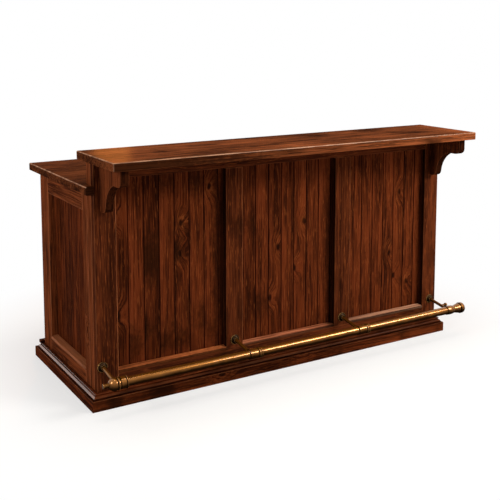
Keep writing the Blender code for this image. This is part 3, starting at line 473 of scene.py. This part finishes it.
# For each sill: its dark and light tones, made pale to paint a highlight, and how much darker it
# is from left to right
sills = ((1, (0.15, 0.038, 0.012, 1.0), (0.58, 0.165, 0.050, 1.0), (0.42, 0.40, 0.35, 0.42, 0.50)),
         (2, (0.17, 0.050, 0.022, 1.0), (0.60, 0.205, 0.096, 1.0), (0.15, 0.15, -0.35, -0.35, -0.10, 0.90)),
         (3, (0.15, 0.060, 0.034, 1.0), (0.48, 0.240, 0.140, 1.0), (0.10, -0.15, -0.20, -0.05, -0.05)))
for i, dark, light, depths in sills:
    sill_pine = stained_pine(f"sill_pine_{i}", 'X', Knots=0.0, Clouds=0.3, Dark=dark, Light=light)
    bm = joined_faces(f"front_sill_{i}")
    sliced(bm, 0, stain_pitch)
    bm.normal_update()
    shaded, stain_and_light_mark = bm.faces.layers.float.new("joint_and_shade"), bm.verts.layers.float.new("stain_and_light")
    left_end, right_end = (corner.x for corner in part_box(f"front_sill_{i}"))
    for vert in bm.verts:
        place = (vert.co.x - left_end) / (right_end - left_end) * (len(depths) - 1)
        k = max(0, min(int(place), len(depths) - 2))
        vert[stain_and_light_mark] = depths[k] + (place - k) * (depths[k + 1] - depths[k])
    # Faces that don't face up are painted dark as shade
    for face in bm.faces:
        if face.normal.z < 0.8:
            face[shaded] = nose_shade
    fix_timber(f"front_sill_{i}_pine", bm, sill_pine, "dark_wood", f"front_sill_{i}",
               arris_wear_and_highlight=lambda face: False)

# Matchboards
# Tongue-and-groove boards of unequal widths behind each opening, with a V where two of them meet.
# Every board comes from another tree, so each has its own tone, figure and knots.
board_pine = stained_pine("matchboard_pine", 'Z', Knots=0.0, Clouds=0.5)

# Knots, by run and board: how far across the board, and how high
knots = {(1, 1): [(0.44, 0.780), (0.59, 0.368)], (1, 5): [(0.44, 0.735), (0.36, 0.601)],
         (1, 7): [(0.38, 0.882)], (2, 3): [(0.75, 0.562), (0.10, 0.326)],
         (2, 5): [(0.82, 0.669), (0.05, 0.453)], (3, 4): [(0.66, 0.445)],
         (3, 5): [(0.57, 0.753), (0.12, 0.323)], (3, 6): [(0.42, 0.282)]}

# Blotches where the stain soaked in, by run: board, how far across, how high, half width, half
# height, depth. Those of half height 0.9 are painted shadow: they darken the whole edge of a board
# near a stile, where the stile casts its shadow.
blotches_and_stile_shade = {
    1: [(1, 0.5, 0.36, 0.05, 0.06, 0.7), (4, 0.4, 0.93, 0.1, 0.1, 0.7), (6, 0.4, 0.91, 0.1, 0.09, 0.6),
        (3, 0.5, 0.6, 0.07, 0.21, 1.1), (3, 0.3, 0.29, 0.06, 0.1, 0.9), (4, 0.9, 0.27, 0.05, 0.08, 0.7),
        (5, 0.2, 0.61, 0.04, 0.08, 1.0), (5, 0.6, 0.4, 0.04, 0.09, 0.7), (2, 0.3, 0.24, 0.08, 0.12, 0.8),
        (6, 0.7, 0.3, 0.06, 0.14, 0.8), (7, 0.8, 0.45, 0.05, 0.2, 0.6), (1, 0.5, 0.24, 0.06, 0.09, 0.8),
        (4, 0.4, 0.21, 0.08, 0.07, 0.8), (5, 0.5, 0.22, 0.07, 0.08, 0.8), (7, 0.5, 0.23, 0.07, 0.08, 0.6),
        (8, 1.0, 0.55, 0.071, 0.9, 3.0), (7, 1.0, 0.55, 0.04, 0.9, 0.75)],
    2: [(1, 0.8, 0.79, 0.03, 0.05, 0.8), (1, 0.8, 0.69, 0.05, 0.09, 0.9), (1, 0.5, 0.36, 0.06, 0.1, 0.5),
        (2, 0.4, 0.3, 0.06, 0.11, 0.8), (3, 0.75, 0.56, 0.03, 0.04, 0.8), (5, 0.8, 0.67, 0.03, 0.04, 0.6),
        (4, 0.5, 0.86, 0.06, 0.07, 0.5), (6, 0.4, 0.28, 0.05, 0.08, 0.4), (8, 0.1, 0.55, 0.06, 0.9, 1.0),
        (7, 1.0, 0.55, 0.04, 0.9, 0.75)],
    3: [(1, 0.6, 0.68, 0.05, 0.12, 0.7), (1, 0.7, 0.29, 0.04, 0.07, 0.7), (3, 0.9, 0.31, 0.04, 0.07, 0.7),
        (4, 0.6, 0.67, 0.05, 0.09, 0.6), (4, 0.65, 0.445, 0.03, 0.035, 0.9),
        (5, 0.8, 0.29, 0.04, 0.04, 0.8), (2, 0.5, 0.48, 0.05, 0.15, 0.4), (6, 0.5, 0.42, 0.05, 0.12, 0.4),
        (7, 0.8, 0.55, 0.05, 0.9, 0.8)]}

# Shape of a board: half the gap to the next one, how thick it shows, its rounded edge, how deep the
# joint is, how dirty the V is, and how many times its length is divided to carry the blotches
half_gap = 0.0003
shown_thickness = 0.009
edge_round = 0.0026
joint_depth = 0.0055
joint_dirt = 0.72
divisions = 59

# How far the sheet of tongues stays inside the run, sideways and at its top and bottom
sheet_side, sheet_end = 0.0005, 0.001


def matchboards(node, axis, outward, edges, run=0):
    """Boards between the given edges along one axis, with their tongues shown as one thin sheet."""
    low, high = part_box(node)
    across = 1 - axis
    face_at = high if outward > 0 else low
    bm = bmesh.new()
    bm.faces.layers.float.new("timber")
    joint_and_shade = bm.faces.layers.float.new("joint_and_shade")
    bm.verts.layers.float.new("stain_and_light")
    bm.faces.layers.float_vector.new("knot")
    for i, (first, last) in enumerate(zip(edges, edges[1:]), start=1):
        a, b = low.copy(), high.copy()
        a[axis], b[axis] = first + half_gap, last - half_gap
        back = face_at[across] - outward * shown_thickness
        (a if outward > 0 else b)[across] = back
        board = planed(a, b, edge_round)
        uprights = [edge for edge in board.edges if abs(edge.verts[0].co.z - edge.verts[1].co.z) > 0.5]
        bmesh.ops.subdivide_edges(board, edges=uprights, cuts=divisions, use_grid_fill=True)
        stain_and_light_mark, knot = board.verts.layers.float.new("stain_and_light"), board.faces.layers.float_vector.new("knot")
        for vert in board.verts:
            for which, share, high_up, wide, tall, deep in blotches_and_stile_shade.get(run, []):
                if which == i:
                    off_centre = vert.co[axis] - first - share * (last - first)
                    off = hypot(off_centre / wide, (vert.co.z - high_up) / tall)
                    vert[stain_and_light_mark] = max(vert[stain_and_light_mark], deep * max(0.0, 1.0 - off * off))
        places = []
        for share, high_up in knots.get((run, i), []):
            spot = Vector((0.0, 0.0, high_up))
            spot[axis], spot[across] = first + share * (last - first), face_at[across]
            places.append(spot)
        for face in board.faces:
            middle = face.calc_center_median()
            face[knot] = min(places, key=lambda spot: abs(spot.z - middle.z)) if places else nowhere
        board.normal_update()
        number, dark = board.faces.layers.float.new("timber"), board.faces.layers.float.new("joint_and_shade")
        value = next(timber_numbers)
        for face in board.faces:
            face[number] = value
            face[dark] = joint_dirt if abs(face.normal[axis]) > 0.1 else 0.0
        mesh = bpy.data.meshes.new("board")
        board.to_mesh(mesh)
        board.free()
        bm.from_mesh(mesh)
        bpy.data.meshes.remove(mesh)
    a, b = low.copy(), high.copy()
    a[axis] += sheet_side
    b[axis] -= sheet_side
    (b if outward > 0 else a)[across] = face_at[across] - outward * joint_depth
    a.z, b.z = low.z + sheet_end, high.z - sheet_end
    tongues = bmesh.ops.create_cube(bm, size=1.0)["verts"]
    bmesh.ops.scale(bm, vec=b - a, verts=tongues)
    bmesh.ops.translate(bm, vec=(a + b) / 2, verts=tongues)
    knot = bm.faces.layers.float_vector["knot"]
    for face in {face for vert in tongues for face in vert.link_faces}:
        face[joint_and_shade] = 1.0
        face[knot] = nowhere
    return bm


def board_edges(start, first, width, limit, end):
    """Where the boards of a run meet: at a first place, then a board's width on, up to a limit."""
    edges = [start]
    while first < limit:
        edges.append(first)
        first += width
    return edges + [end]


# For each run: the stile on its left, the first joint's distance from it, and the boards' width
front_runs = (("front_corner_stile_left", 0.063, 0.0722), ("front_mid_stile_1", 0.085, 0.0700),
              ("front_mid_stile_2", 0.091, 0.0672))
least_width = 0.006
for i, (stile, first_joint, width) in enumerate(front_runs, start=1):
    low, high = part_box(f"front_boards_{i}")
    edges = board_edges(low.x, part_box(stile)[1].x + first_joint, width, high.x - least_width, high.x)
    fix_timber(f"front_boards_{i}_pine", matchboards(f"front_boards_{i}", 0, -1, edges, i), board_pine,
               "dark_wood", f"front_boards_{i}", arris_wear_and_highlight=lambda face: False)

# Ends
# Each end is a framed panel too: two stiles, two rails, a run of matchboards and a nosed sill, and
# ahead of them the end of the knee wall that carries the bar top.
end_tone = {"Dark": (0.0360, 0.0090, 0.0034, 1.0), "Light": (0.1650, 0.0400, 0.0125, 1.0)}
end_upright_pine = stained_pine("end_pine_upright", 'Z', Knots=0.25, **end_tone)
across_pine = stained_pine("end_pine_across", 'Y', Knots=0.25, **end_tone)
end_sill_pine = stained_pine("end_sill_pine", 'Y', Knots=0.0, Clouds=0.2, Dark=(0.10, 0.030, 0.012, 1.0),
                             Light=(0.26, 0.090, 0.042, 1.0))
end_board_width = 0.075
for side, outward in (("left", -1), ("right", 1)):
    for node in (f"end_front_stile_{side}", f"end_back_stile_{side}", f"wall_end_post_{side}"):
        fix_timber(f"{node}_pine", planed(*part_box(node)), end_upright_pine, "dark_wood", node)
    for node in (f"end_top_rail_{side}", f"end_bottom_rail_{side}"):
        fix_timber(f"{node}_pine", planed(*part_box(node)), across_pine, "dark_wood", node)
    # The end sill is paler than the frames and its outward faces take the arris colour: a painted highlight
    fix_timber(f"end_sill_{side}_pine", joined_faces(f"end_sill_{side}"), end_sill_pine, "dark_wood",
               f"end_sill_{side}", arris_wear_and_highlight=lambda face: face.normal.x * outward > 0.1)
    low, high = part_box(f"end_boards_{side}")
    stile_back, stile_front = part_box(f"end_front_stile_{side}")[1].y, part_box(f"end_back_stile_{side}")[0].y
    edges = board_edges(low.y, stile_back + end_board_width, end_board_width, stile_front, high.y)
    fix_timber(f"end_boards_{side}_pine", matchboards(f"end_boards_{side}", 1, outward, edges), board_pine,
               "dark_wood", f"end_boards_{side}", arris_wear_and_highlight=lambda face: False)

# Knee wall and inside of the case
# Plain boards: the wall's back and top plate, the bottom deck on its bearers, two dividers, three
# shelves housed between them, and the rail that ties the back. They are stained but not polished.
inside_upright = stained_pine("inside_pine_upright", 'Z', Wear=0.2)
inside_level = stained_pine("inside_pine_level", 'X', Wear=0.2)
inside_arris = 0.0016
slots = {entry["node"]: entry["material_slot"] for entry in frame["record"]["subparts"]}
for node in ("wall_back_board", "wall_top_plate", "deck_bearer_front", "deck_bearer_back", "bottom_deck",
             "deck_nosing", "shelf_1", "shelf_2", "shelf_3", "back_rail"):
    fix_timber(f"{node}_pine", planed(*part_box(node), arris=inside_arris), inside_level, slots[node], node)
for node in ("divider_1", "divider_2"):
    fix_timber(f"{node}_pine", joined_faces(node), inside_upright, "inside_wood", node)

# Corbels
# Two brackets sawn to an ovolo, a step and a long cove from 38 mm plank, and fixed to the corner
# stiles under the overhang of the bar top.
corbel_pine = stained_pine("corbel_pine", 'Z', Knots=0.0, Dark=(0.0280, 0.0070, 0.0026, 1.0),
                           Light=(0.1200, 0.0290, 0.0095, 1.0))
corbel_front_shade, corbel_rub = 0.82, 0.35
for side in ("left", "right"):
    bm = joined_faces(f"corbel_{side}")
    bm.normal_update()
    # The faces that point forward, under the overhang, are painted dark: painted shade, with the deeper stain
    # of end grain
    front_shade = bm.faces.layers.float.new("joint_and_shade")
    for face in bm.faces:
        if abs(face.normal.x) < 0.2:
            face[front_shade] = corbel_front_shade
    corbel = fix_timber(f"corbel_{side}_pine", bm, corbel_pine, "dark_wood", f"corbel_{side}",
                        arris_wear_and_highlight=lambda face: corbel_rub * (0.2 < abs(face.normal.x) < 0.98))
    corbel.data.shade_smooth()
    corbel.data.set_sharp_from_angle(angle=radians(28))

# Worktop and bar top
# Two thick tops of glued-up pine, polished more than the rest and lit from above. The worktop is
# notched round the knee wall and the bar top lies on it, with all its arrises rounded over.
top_pine = stained_pine("top_pine", 'X', gloss=0.20, Knots=0.08, Clouds=1.0, Wear=0.75, Polish=0.008,
                        Dark=(0.0210, 0.0060, 0.0023, 1.0), Light=(0.160, 0.044, 0.0145, 1.0),
                        Worn=(0.46, 0.25, 0.15, 1.0))

# Streaks where the stain soaked in, and golden places painted as sheen, which count below nothing:
# how far along, how far back, half length, half depth, depth
streaks_and_sheen = ((-0.69, -0.31, 0.13, 0.05, 0.9), (-0.43, -0.22, 0.15, 0.05, 0.8),
           (0.18, -0.19, 0.14, 0.05, 0.9), (0.51, -0.19, 0.14, 0.05, 0.9), (0.67, -0.34, 0.13, 0.06, 1.0),
           (-0.10, -0.05, 0.40, 0.07, 0.7), (0.60, -0.06, 0.25, 0.07, 0.8),
           (-0.82, -0.24, 0.15, 0.17, -0.7), (0.93, -0.36, 0.12, 0.32, -0.9),
           (-0.12, -0.42, 0.20, 0.08, -0.5), (0.36, -0.41, 0.22, 0.08, -0.5),
           (-0.17, -0.21, 0.20, 0.07, -0.35))
cross_pitch = 0.045
edge_shade_at_left, edge_shade_fall = 1.15, 2.1
end_grain_dark, nosing_wear_and_highlight = 0.15, 0.3


def worn_and_highlit_above(face):
    """The upper arrises of a top are palest, the upright less, the lower not: painted highlight and wear."""
    return slanted(face) * (1.0 if face.normal.z > 0.1 else nosing_wear_and_highlight * (face.normal.z > -0.1))


for node in ("worktop", "bar_top"):
    bm = joined_faces(node)
    low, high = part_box(node)
    sliced(bm, 0, stain_pitch)
    sliced(bm, 1, cross_pitch)
    bm.normal_update()
    end_grain, stain_and_light_mark = bm.faces.layers.float.new("joint_and_shade"), bm.verts.layers.float.new("stain_and_light")
    # Each top's front edge is painted dark at the left end and pale at the right: painted shade and reflection
    for face in bm.faces:
        if face.normal.y < -0.98:
            for vert in face.verts:
                share = (vert.co.x - low.x) / (high.x - low.x)
                vert[stain_and_light_mark] = edge_shade_at_left - edge_shade_fall * share
        elif face.normal.z > 0.98 and node == "bar_top":
            for vert in face.verts:
                at_x, at_y = vert.co.x, vert.co.y
                depths = [deep * max(0.0, 1.0 - ((at_x - x) / half_x) ** 2 - ((at_y - y) / half_y) ** 2)
                          for x, y, half_x, half_y, deep in streaks_and_sheen]
                vert[stain_and_light_mark] = max(depths) + min(depths)
        elif abs(face.normal.x) > 0.98:
            face[end_grain] = end_grain_dark
    fix_timber(f"{node}_pine", bm, top_pine, "top_wood", node, arris_wear_and_highlight=worn_and_highlit_above)

# Foot rail
# Brass tube on four cast brackets, left to darken: it is bright on top, where shoes rub it and as a
# painted highlight, brown below as painted shade, and brown in the grooves and on the wall flanges.
# Pale gold on rims and bead crests: a painted highlight, as well as wear
rim_highlight_gold = (0.34, 0.170, 0.052, 1.0)
groove_black = (0.0040, 0.0018, 0.0006, 1.0)


def brass(name, bright, dull, roughness, lacquer):
    """Aged brass: bright on top and brown below, as wear and as painted light and shade, and black in its
    grooves.
    """
    finish = bpy.data.materials.new(name)
    finish.use_nodes = True
    tree = finish.node_tree
    shader = tree.nodes["Principled BSDF"]
    coords = add_node(tree, 'ShaderNodeTexCoord').outputs
    along = add_node(tree, 'ShaderNodeVectorMath',
                     {0: coords["Object"], 1: (1.5, 60.0, 60.0)}, operation='MULTIPLY').outputs[0]
    brushed = add_node(tree, 'ShaderNodeTexNoise',
                       {"Vector": along, "Scale": 9.0, "Detail": 3.0}).outputs["Fac"]
    cloud = add_node(tree, 'ShaderNodeTexNoise',
                     {"Vector": coords["Object"], "Scale": 24.0, "Detail": 3.0}).outputs["Fac"]
    groove = add_node(tree, 'ShaderNodeAttribute', attribute_name="groove").outputs["Fac"]
    faces_up = add_node(tree, 'ShaderNodeSeparateXYZ', {0: coords["Normal"]}).outputs[2]
    faces_up = calc(tree, 'ADD', faces_up, calc(tree, 'MULTIPLY', calc(tree, 'SUBTRACT', cloud, 0.5), 0.5))
    # Faces that point up are bright and those below brown: painted light and shade, as well as wear
    tone_change = smooth_step(tree, faces_up, -0.35, 0.95)
    rim_highlight = calc(tree, 'MAXIMUM', calc(tree, 'MULTIPLY', groove, -1.0), 0.0)
    tone = dull
    for share, colour in ((tone_change, bright), (rim_highlight, rim_highlight_gold), (groove, groove_black)):
        tone = add_node(tree, 'ShaderNodeMix', {0: share, 6: tone, 7: colour}, data_type='RGBA').outputs[2]
    tree.links.new(tone, shader.inputs["Base Color"])
    rough = calc(tree, 'ADD', smooth_step(tree, brushed, 0.3, 0.7, roughness - 0.03, roughness + 0.04),
                 calc(tree, 'MULTIPLY', groove, 0.25))
    tree.links.new(rough, shader.inputs["Roughness"])
    bump = add_node(tree, 'ShaderNodeBump', {"Strength": 0.05, "Distance": 0.0002, "Height": brushed})
    tree.links.new(bump.outputs[0], shader.inputs["Normal"])
    # Only the bright upper side is metallic and lacquered, which paints the underside darker as well
    clean_and_lit = calc(tree, 'MULTIPLY', tone_change, calc(tree, 'SUBTRACT', 1.0, calc(tree, 'MAXIMUM', groove, 0.0)))
    tree.links.new(calc(tree, 'MULTIPLY', clean_and_lit, lacquer), shader.inputs["Coat Weight"])
    tree.links.new(calc(tree, 'MULTIPLY', clean_and_lit, 0.75), shader.inputs["Metallic"])
    shader.inputs["Specular IOR Level"].default_value = 0.0
    shader.inputs["Coat Roughness"].default_value = 0.11
    return finish


rail_brass = brass("rail_brass", (0.265, 0.096, 0.010, 1.0), (0.010, 0.0040, 0.0010, 1.0), 0.22, 0.62)
flange_bronze = brass("flange_bronze", (0.055, 0.028, 0.012, 1.0), (0.007, 0.0035, 0.0014, 1.0), 0.26, 0.1)


# How near to each other points are welded, and how near to its line in the profile a face lies
welded = 0.000005
slack, facet_slack = 1e-5, 4e-4


def turned(bm, profile, axis, centre, steps=72):
    """Adds a shape turned about X or Y. The profile is (along, radius, darkness) points; below nothing paints
    a highlight.
    """
    groove = bm.faces.layers.float.get("groove") or bm.faces.layers.float.new("groove")
    old = set(bm.faces)
    turn = Vector((1, 0, 0)) if axis == 'X' else Vector((0, 1, 0))
    verts = [bm.verts.new(centre + turn * along + Vector((0, 0, radius))) for along, radius, _ in profile]
    edges = [bm.edges.new(pair) for pair in zip(verts, verts[1:])]
    bmesh.ops.spin(bm, geom=verts + edges, cent=centre, axis=turn, angle=2 * pi, steps=steps, use_merge=True)
    bmesh.ops.remove_doubles(bm, verts=bm.verts, dist=welded)
    for face in bm.faces:
        if face not in old:
            middle = face.calc_center_median() - centre
            along = middle.dot(turn)
            radius = (middle - turn * along).length
            for (first, low, dark), (last, high, _) in zip(profile, profile[1:]):
                inside = min(first, last) - slack <= along <= max(first, last) + slack
                level = min(low, high) - facet_slack <= radius <= max(low, high) + facet_slack
                if dark and inside and level:
                    face[groove] = dark


def ring_cut(start, radius, width=0.004, depth=0.0013):
    """Profile of a square groove, dark inside."""
    end = start + width
    foot = radius - depth
    return [(start, radius, 1.0), (start, foot, 1.0), (end, foot, 1.0), (end, radius, 0.0)]


def ring_bead(start, radius, width=0.0095, rise=0.0018):
    """Profile of a round bead with a dark line at its foot and a pale crest, a painted highlight."""
    points = [(start + width * i / 10, radius + rise * sin(pi * i / 10), -0.4 * (i == 5)) for i in range(11)]
    return [(points[0][0], points[0][1], 0.8)] + points[1:-1] + [(points[-1][0], points[-1][1], 0.8)]


def rounded_end(start, length, radius, steps=14):
    """Profile of a domed end that closes at its tip."""
    return [(start + length * sin(pi / 2 * i / steps), radius * cos(pi / 2 * i / steps), 0.0)
            for i in range(steps + 1)]


def arm_rod(bm, radius, start, end, steps=40):
    """Adds one arm's rod, between two places."""
    groove = bm.faces.layers.float.get("groove") or bm.faces.layers.float.new("groove")
    run = end - start
    turn = Vector((0, 0, 1)).rotation_difference(run).to_matrix().to_4x4()
    matrix = Matrix.Translation((start + end) / 2) @ turn
    made = bmesh.ops.create_cone(bm, cap_ends=True, segments=steps, radius1=radius, radius2=radius,
                                 depth=run.length, matrix=matrix)["verts"]
    for face in {face for vert in made for face in vert.link_faces}:
        face[groove] = 0.0


def fix_brass(name, bm, finish, slot, *nodes):
    """Smooths a fitting and puts it in the place of its CAD solid."""
    bmesh.ops.recalc_face_normals(bm, faces=bm.faces)
    piece = set_in_place(name, bm, finish, nodes)
    piece.data.shade_smooth()
    piece.data.set_sharp_from_angle(angle=radians(35))


tube_low, tube_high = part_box("rail_tube")
tube_radius = (tube_high.z - tube_low.z) / 2
tube_bore = tube_radius - 0.0015
rail_axis = (tube_low + tube_high) / 2
rail_gap = 0.0003
socket = tube_radius + rail_gap
arm_radius = 0.0075
arm_gap = 0.0002
arm_aim = Vector((0, 0, 0.006))

bm = bmesh.new()
length = tube_high.x - tube_low.x
turned(bm, [(0, tube_bore, 0), (0, tube_radius, 0), (length, tube_radius, 0), (length, tube_bore, 0),
            (0, tube_bore, 0)], 'X', Vector((tube_low.x, rail_axis.y, rail_axis.z)), steps=96)
fix_brass("rail_tube_brass", bm, rail_brass, "brass", "rail_tube")

# Rail flanges
# Bronze roses turned with a hollow face and screwed to the stiles. Each one has a boss that the
# arm enters, and it is the darkest metal on the counter.
flange_places = []
screw_ring, screw_seat = 0.0172, 0.0046
screw = [(0.003, 0.0, 0), (0.003, 0.0026, 1.0), (0.0, 0.0026, 0.5), (-0.0008, 0.0018, 0), (-0.0010, 0, 0)]
for i in (1, 2, 3, 4):
    low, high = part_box(f"rail_flange_{i}")
    middle = (low + high) / 2
    flange_places.append(middle)
    outer = (high.x - low.x) / 2
    depth = high.y - low.y
    # Darkness below nothing paints the rims pale gold: a painted highlight, as well as wear
    rose = [(0, 0, 0), (0, outer, 0), (-0.0028, outer, -1.0), (-0.004, outer - 0.0010, 0.4)]
    for k in range(1, 11):
        angle = pi / 2 * k / 10
        hollow = outer - 0.0008 - (outer - 0.0118) * sin(angle)
        rose.append((-0.004 - (depth - 0.005) * (1 - cos(angle)), hollow, 0.35))
    rose += [(-depth + 0.0006, 0.0110, -0.8), (-depth, 0.0104, 0.3), (-depth, arm_radius + 0.0004, 1.0),
             (-depth + 0.004, arm_radius + 0.0004, 1.0), (-depth + 0.004, 0, 0)]
    bm = bmesh.new()
    turned(bm, rose, 'Y', Vector((middle.x, high.y, middle.z)), steps=64)
    for angle in (pi / 6, pi * 5 / 6, pi * 3 / 2):
        head = Vector((middle.x + screw_ring * cos(angle), high.y - screw_seat,
                       middle.z + screw_ring * sin(angle)))
        turned(bm, screw, 'Y', head, steps=20)
    fix_brass(f"rail_flange_{i}_bronze", bm, flange_bronze, "bronze", f"rail_flange_{i}")

# Left end fitting
# A cast ball on the first arm, with a stub and a button on its free side, and a beaded sleeve that
# the tube is pushed into.
low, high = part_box("rail_ball_end")
ball = Vector((flange_places[0].x, rail_axis.y, rail_axis.z))
ball_radius, stub_radius, button_radius, sleeve_radius = 0.028, 0.009, 0.011, 0.0255
ball_half_length = 0.030
inside_ball = 0.012
eased = 0.0012
start, end = low.x - ball.x, high.x - ball.x
fitting = [(start, 0, 0), (start, button_radius - eased, 0), (start + eased, button_radius, 0),
           (start + 0.0038, button_radius, 0), (start + 0.005, button_radius - eased, 0.7),
           (start + 0.005, stub_radius, 0.5)]
sweep = asin(stub_radius / ball_radius)
for k in range(25):
    angle = sweep + (pi / 2 - sweep) * k / 24
    fitting.append((-ball_half_length * cos(angle), ball_radius * sin(angle), 0.6 if k == 0 else 0.0))
fitting += ring_cut(0.003, ball_radius - 0.0012)[:3]
fitting += ring_bead(0.007, sleeve_radius)
fitting += ring_cut(0.0172, sleeve_radius)
fitting += ring_cut(end - 0.00875, sleeve_radius)
fitting += ring_bead(end - 0.00475, sleeve_radius, 0.00475)[1:]
fitting += [(end, socket, 1.0), (end - 0.004, socket, 1.0)]
bm = bmesh.new()
turned(bm, fitting, 'X', ball)
aim = ball + arm_aim
rise = flange_places[0] - aim
wall = high.y - arm_gap
arm_rod(bm, arm_radius, aim + rise.normalized() * inside_ball,
        Vector((ball.x, wall, aim.z + rise.z / rise.y * (wall - aim.y))))
fix_brass("rail_ball_end_brass", bm, rail_brass, "brass", "rail_ball_end")

# Collars and arms
# Cast collars that grip the tube where the arms meet it. Each is turned with a groove beside the
# arm, and the two in the middle have a second groove and a pair of beads on their right.
collar_radius = 0.0215
collar_wall = 0.0208
collar_swell = 0.0012
cap_spigot = 0.015
pin_start, pin_radius = 0.046, 0.005
knob_length, knob_radius = 0.011, 0.0085
for i in (2, 3, 4):
    low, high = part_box(f"rail_bracket_{i}")
    middle = Vector((flange_places[i - 1].x, rail_axis.y, rail_axis.z))
    start = low.x - middle.x
    collar = [(start + 0.004, socket, 1.0), (start, socket, 1.0), (start, collar_radius - eased, 0)]
    collar += ring_cut(start + eased, collar_radius, 0.0045)
    if i < 4:
        collar += ring_cut(0.034, collar_radius)
        collar += ring_bead(0.038, collar_radius)[1:] + ring_bead(0.0475, collar_radius)[1:]
        collar += [(high.x - middle.x, socket, 1.0)]
    else:
        cap_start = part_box("rail_end_cap")[0].x + cap_spigot - rail_gap - middle.x
        collar += [(cap_start * k / 10, collar_radius + collar_swell * sin(pi * k / 10), 0.0)
                   for k in range(1, 11)]
        collar += [(cap_start, socket, 1.0)]
    bm = bmesh.new()
    turned(bm, collar, 'X', middle)
    aim = middle + arm_aim
    rise = flange_places[i - 1] - aim
    wall = high.y - arm_gap - aim.y
    arm_rod(bm, arm_radius, aim + rise * (collar_wall / rise.y), aim + rise * (wall / rise.y))
    if i == 4:
        pin = aim + rise.normalized() * pin_start
        tip = high.x - pin.x
        turned(bm, [(0, 0, 0), (0, pin_radius, 0.5), (tip - knob_length, pin_radius, 0.5),
                    (tip - knob_length, 0.0073, 0.4), (tip - 0.0098, knob_radius, 0),
                    (tip - 0.003, knob_radius, 0), (tip - 0.0006, 0.0068, 0), (tip, 0.005, 0),
                    (tip, 0, 0)], 'X', pin, steps=40)
    fix_brass(f"rail_bracket_{i}_brass", bm, rail_brass, "brass", f"rail_bracket_{i}")

# Right end cap
# Turned from solid brass: a slim neck, a flare, a deep groove and a domed end. Its spigot is
# soldered into the tube.
low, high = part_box("rail_end_cap")
tip = Vector((high.x, rail_axis.y, rail_axis.z))
start = low.x + cap_spigot - tip.x
cut = -0.036
neck_radius, cut_radius = 0.0185, 0.0222
dome_radius, dome_length = 0.0270, 0.020
cap = [(start, socket - 0.002, 1.0), (start, collar_radius - eased, 0.8), (start + eased, collar_radius, 0),
       (start + 0.0024, collar_radius, 0)]
for k in range(1, 13):
    share = k / 12
    cap.append((start + 0.0024 + 0.0136 * share, collar_radius - 0.003 * (0.5 - 0.5 * cos(pi * share)), 0))
for k in range(1, 13):
    share = k / 12
    cap.append((cut - 0.0345 + 0.0333 * share, neck_radius + 0.005 * (share * share * (3 - 2 * share)), 0))
cap += [(cut, cut_radius, 1.0), (cut + 0.004, cut_radius, 1.0), (cut + 0.004, 0.0258, 0.7),
        (cut + 0.0052, dome_radius, 0)]
cap += rounded_end(-dome_length, dome_length, dome_radius)
bm = bmesh.new()
turned(bm, cap, 'X', tip)
fix_brass("rail_end_cap_brass", bm, rail_brass, "brass", "rail_end_cap")
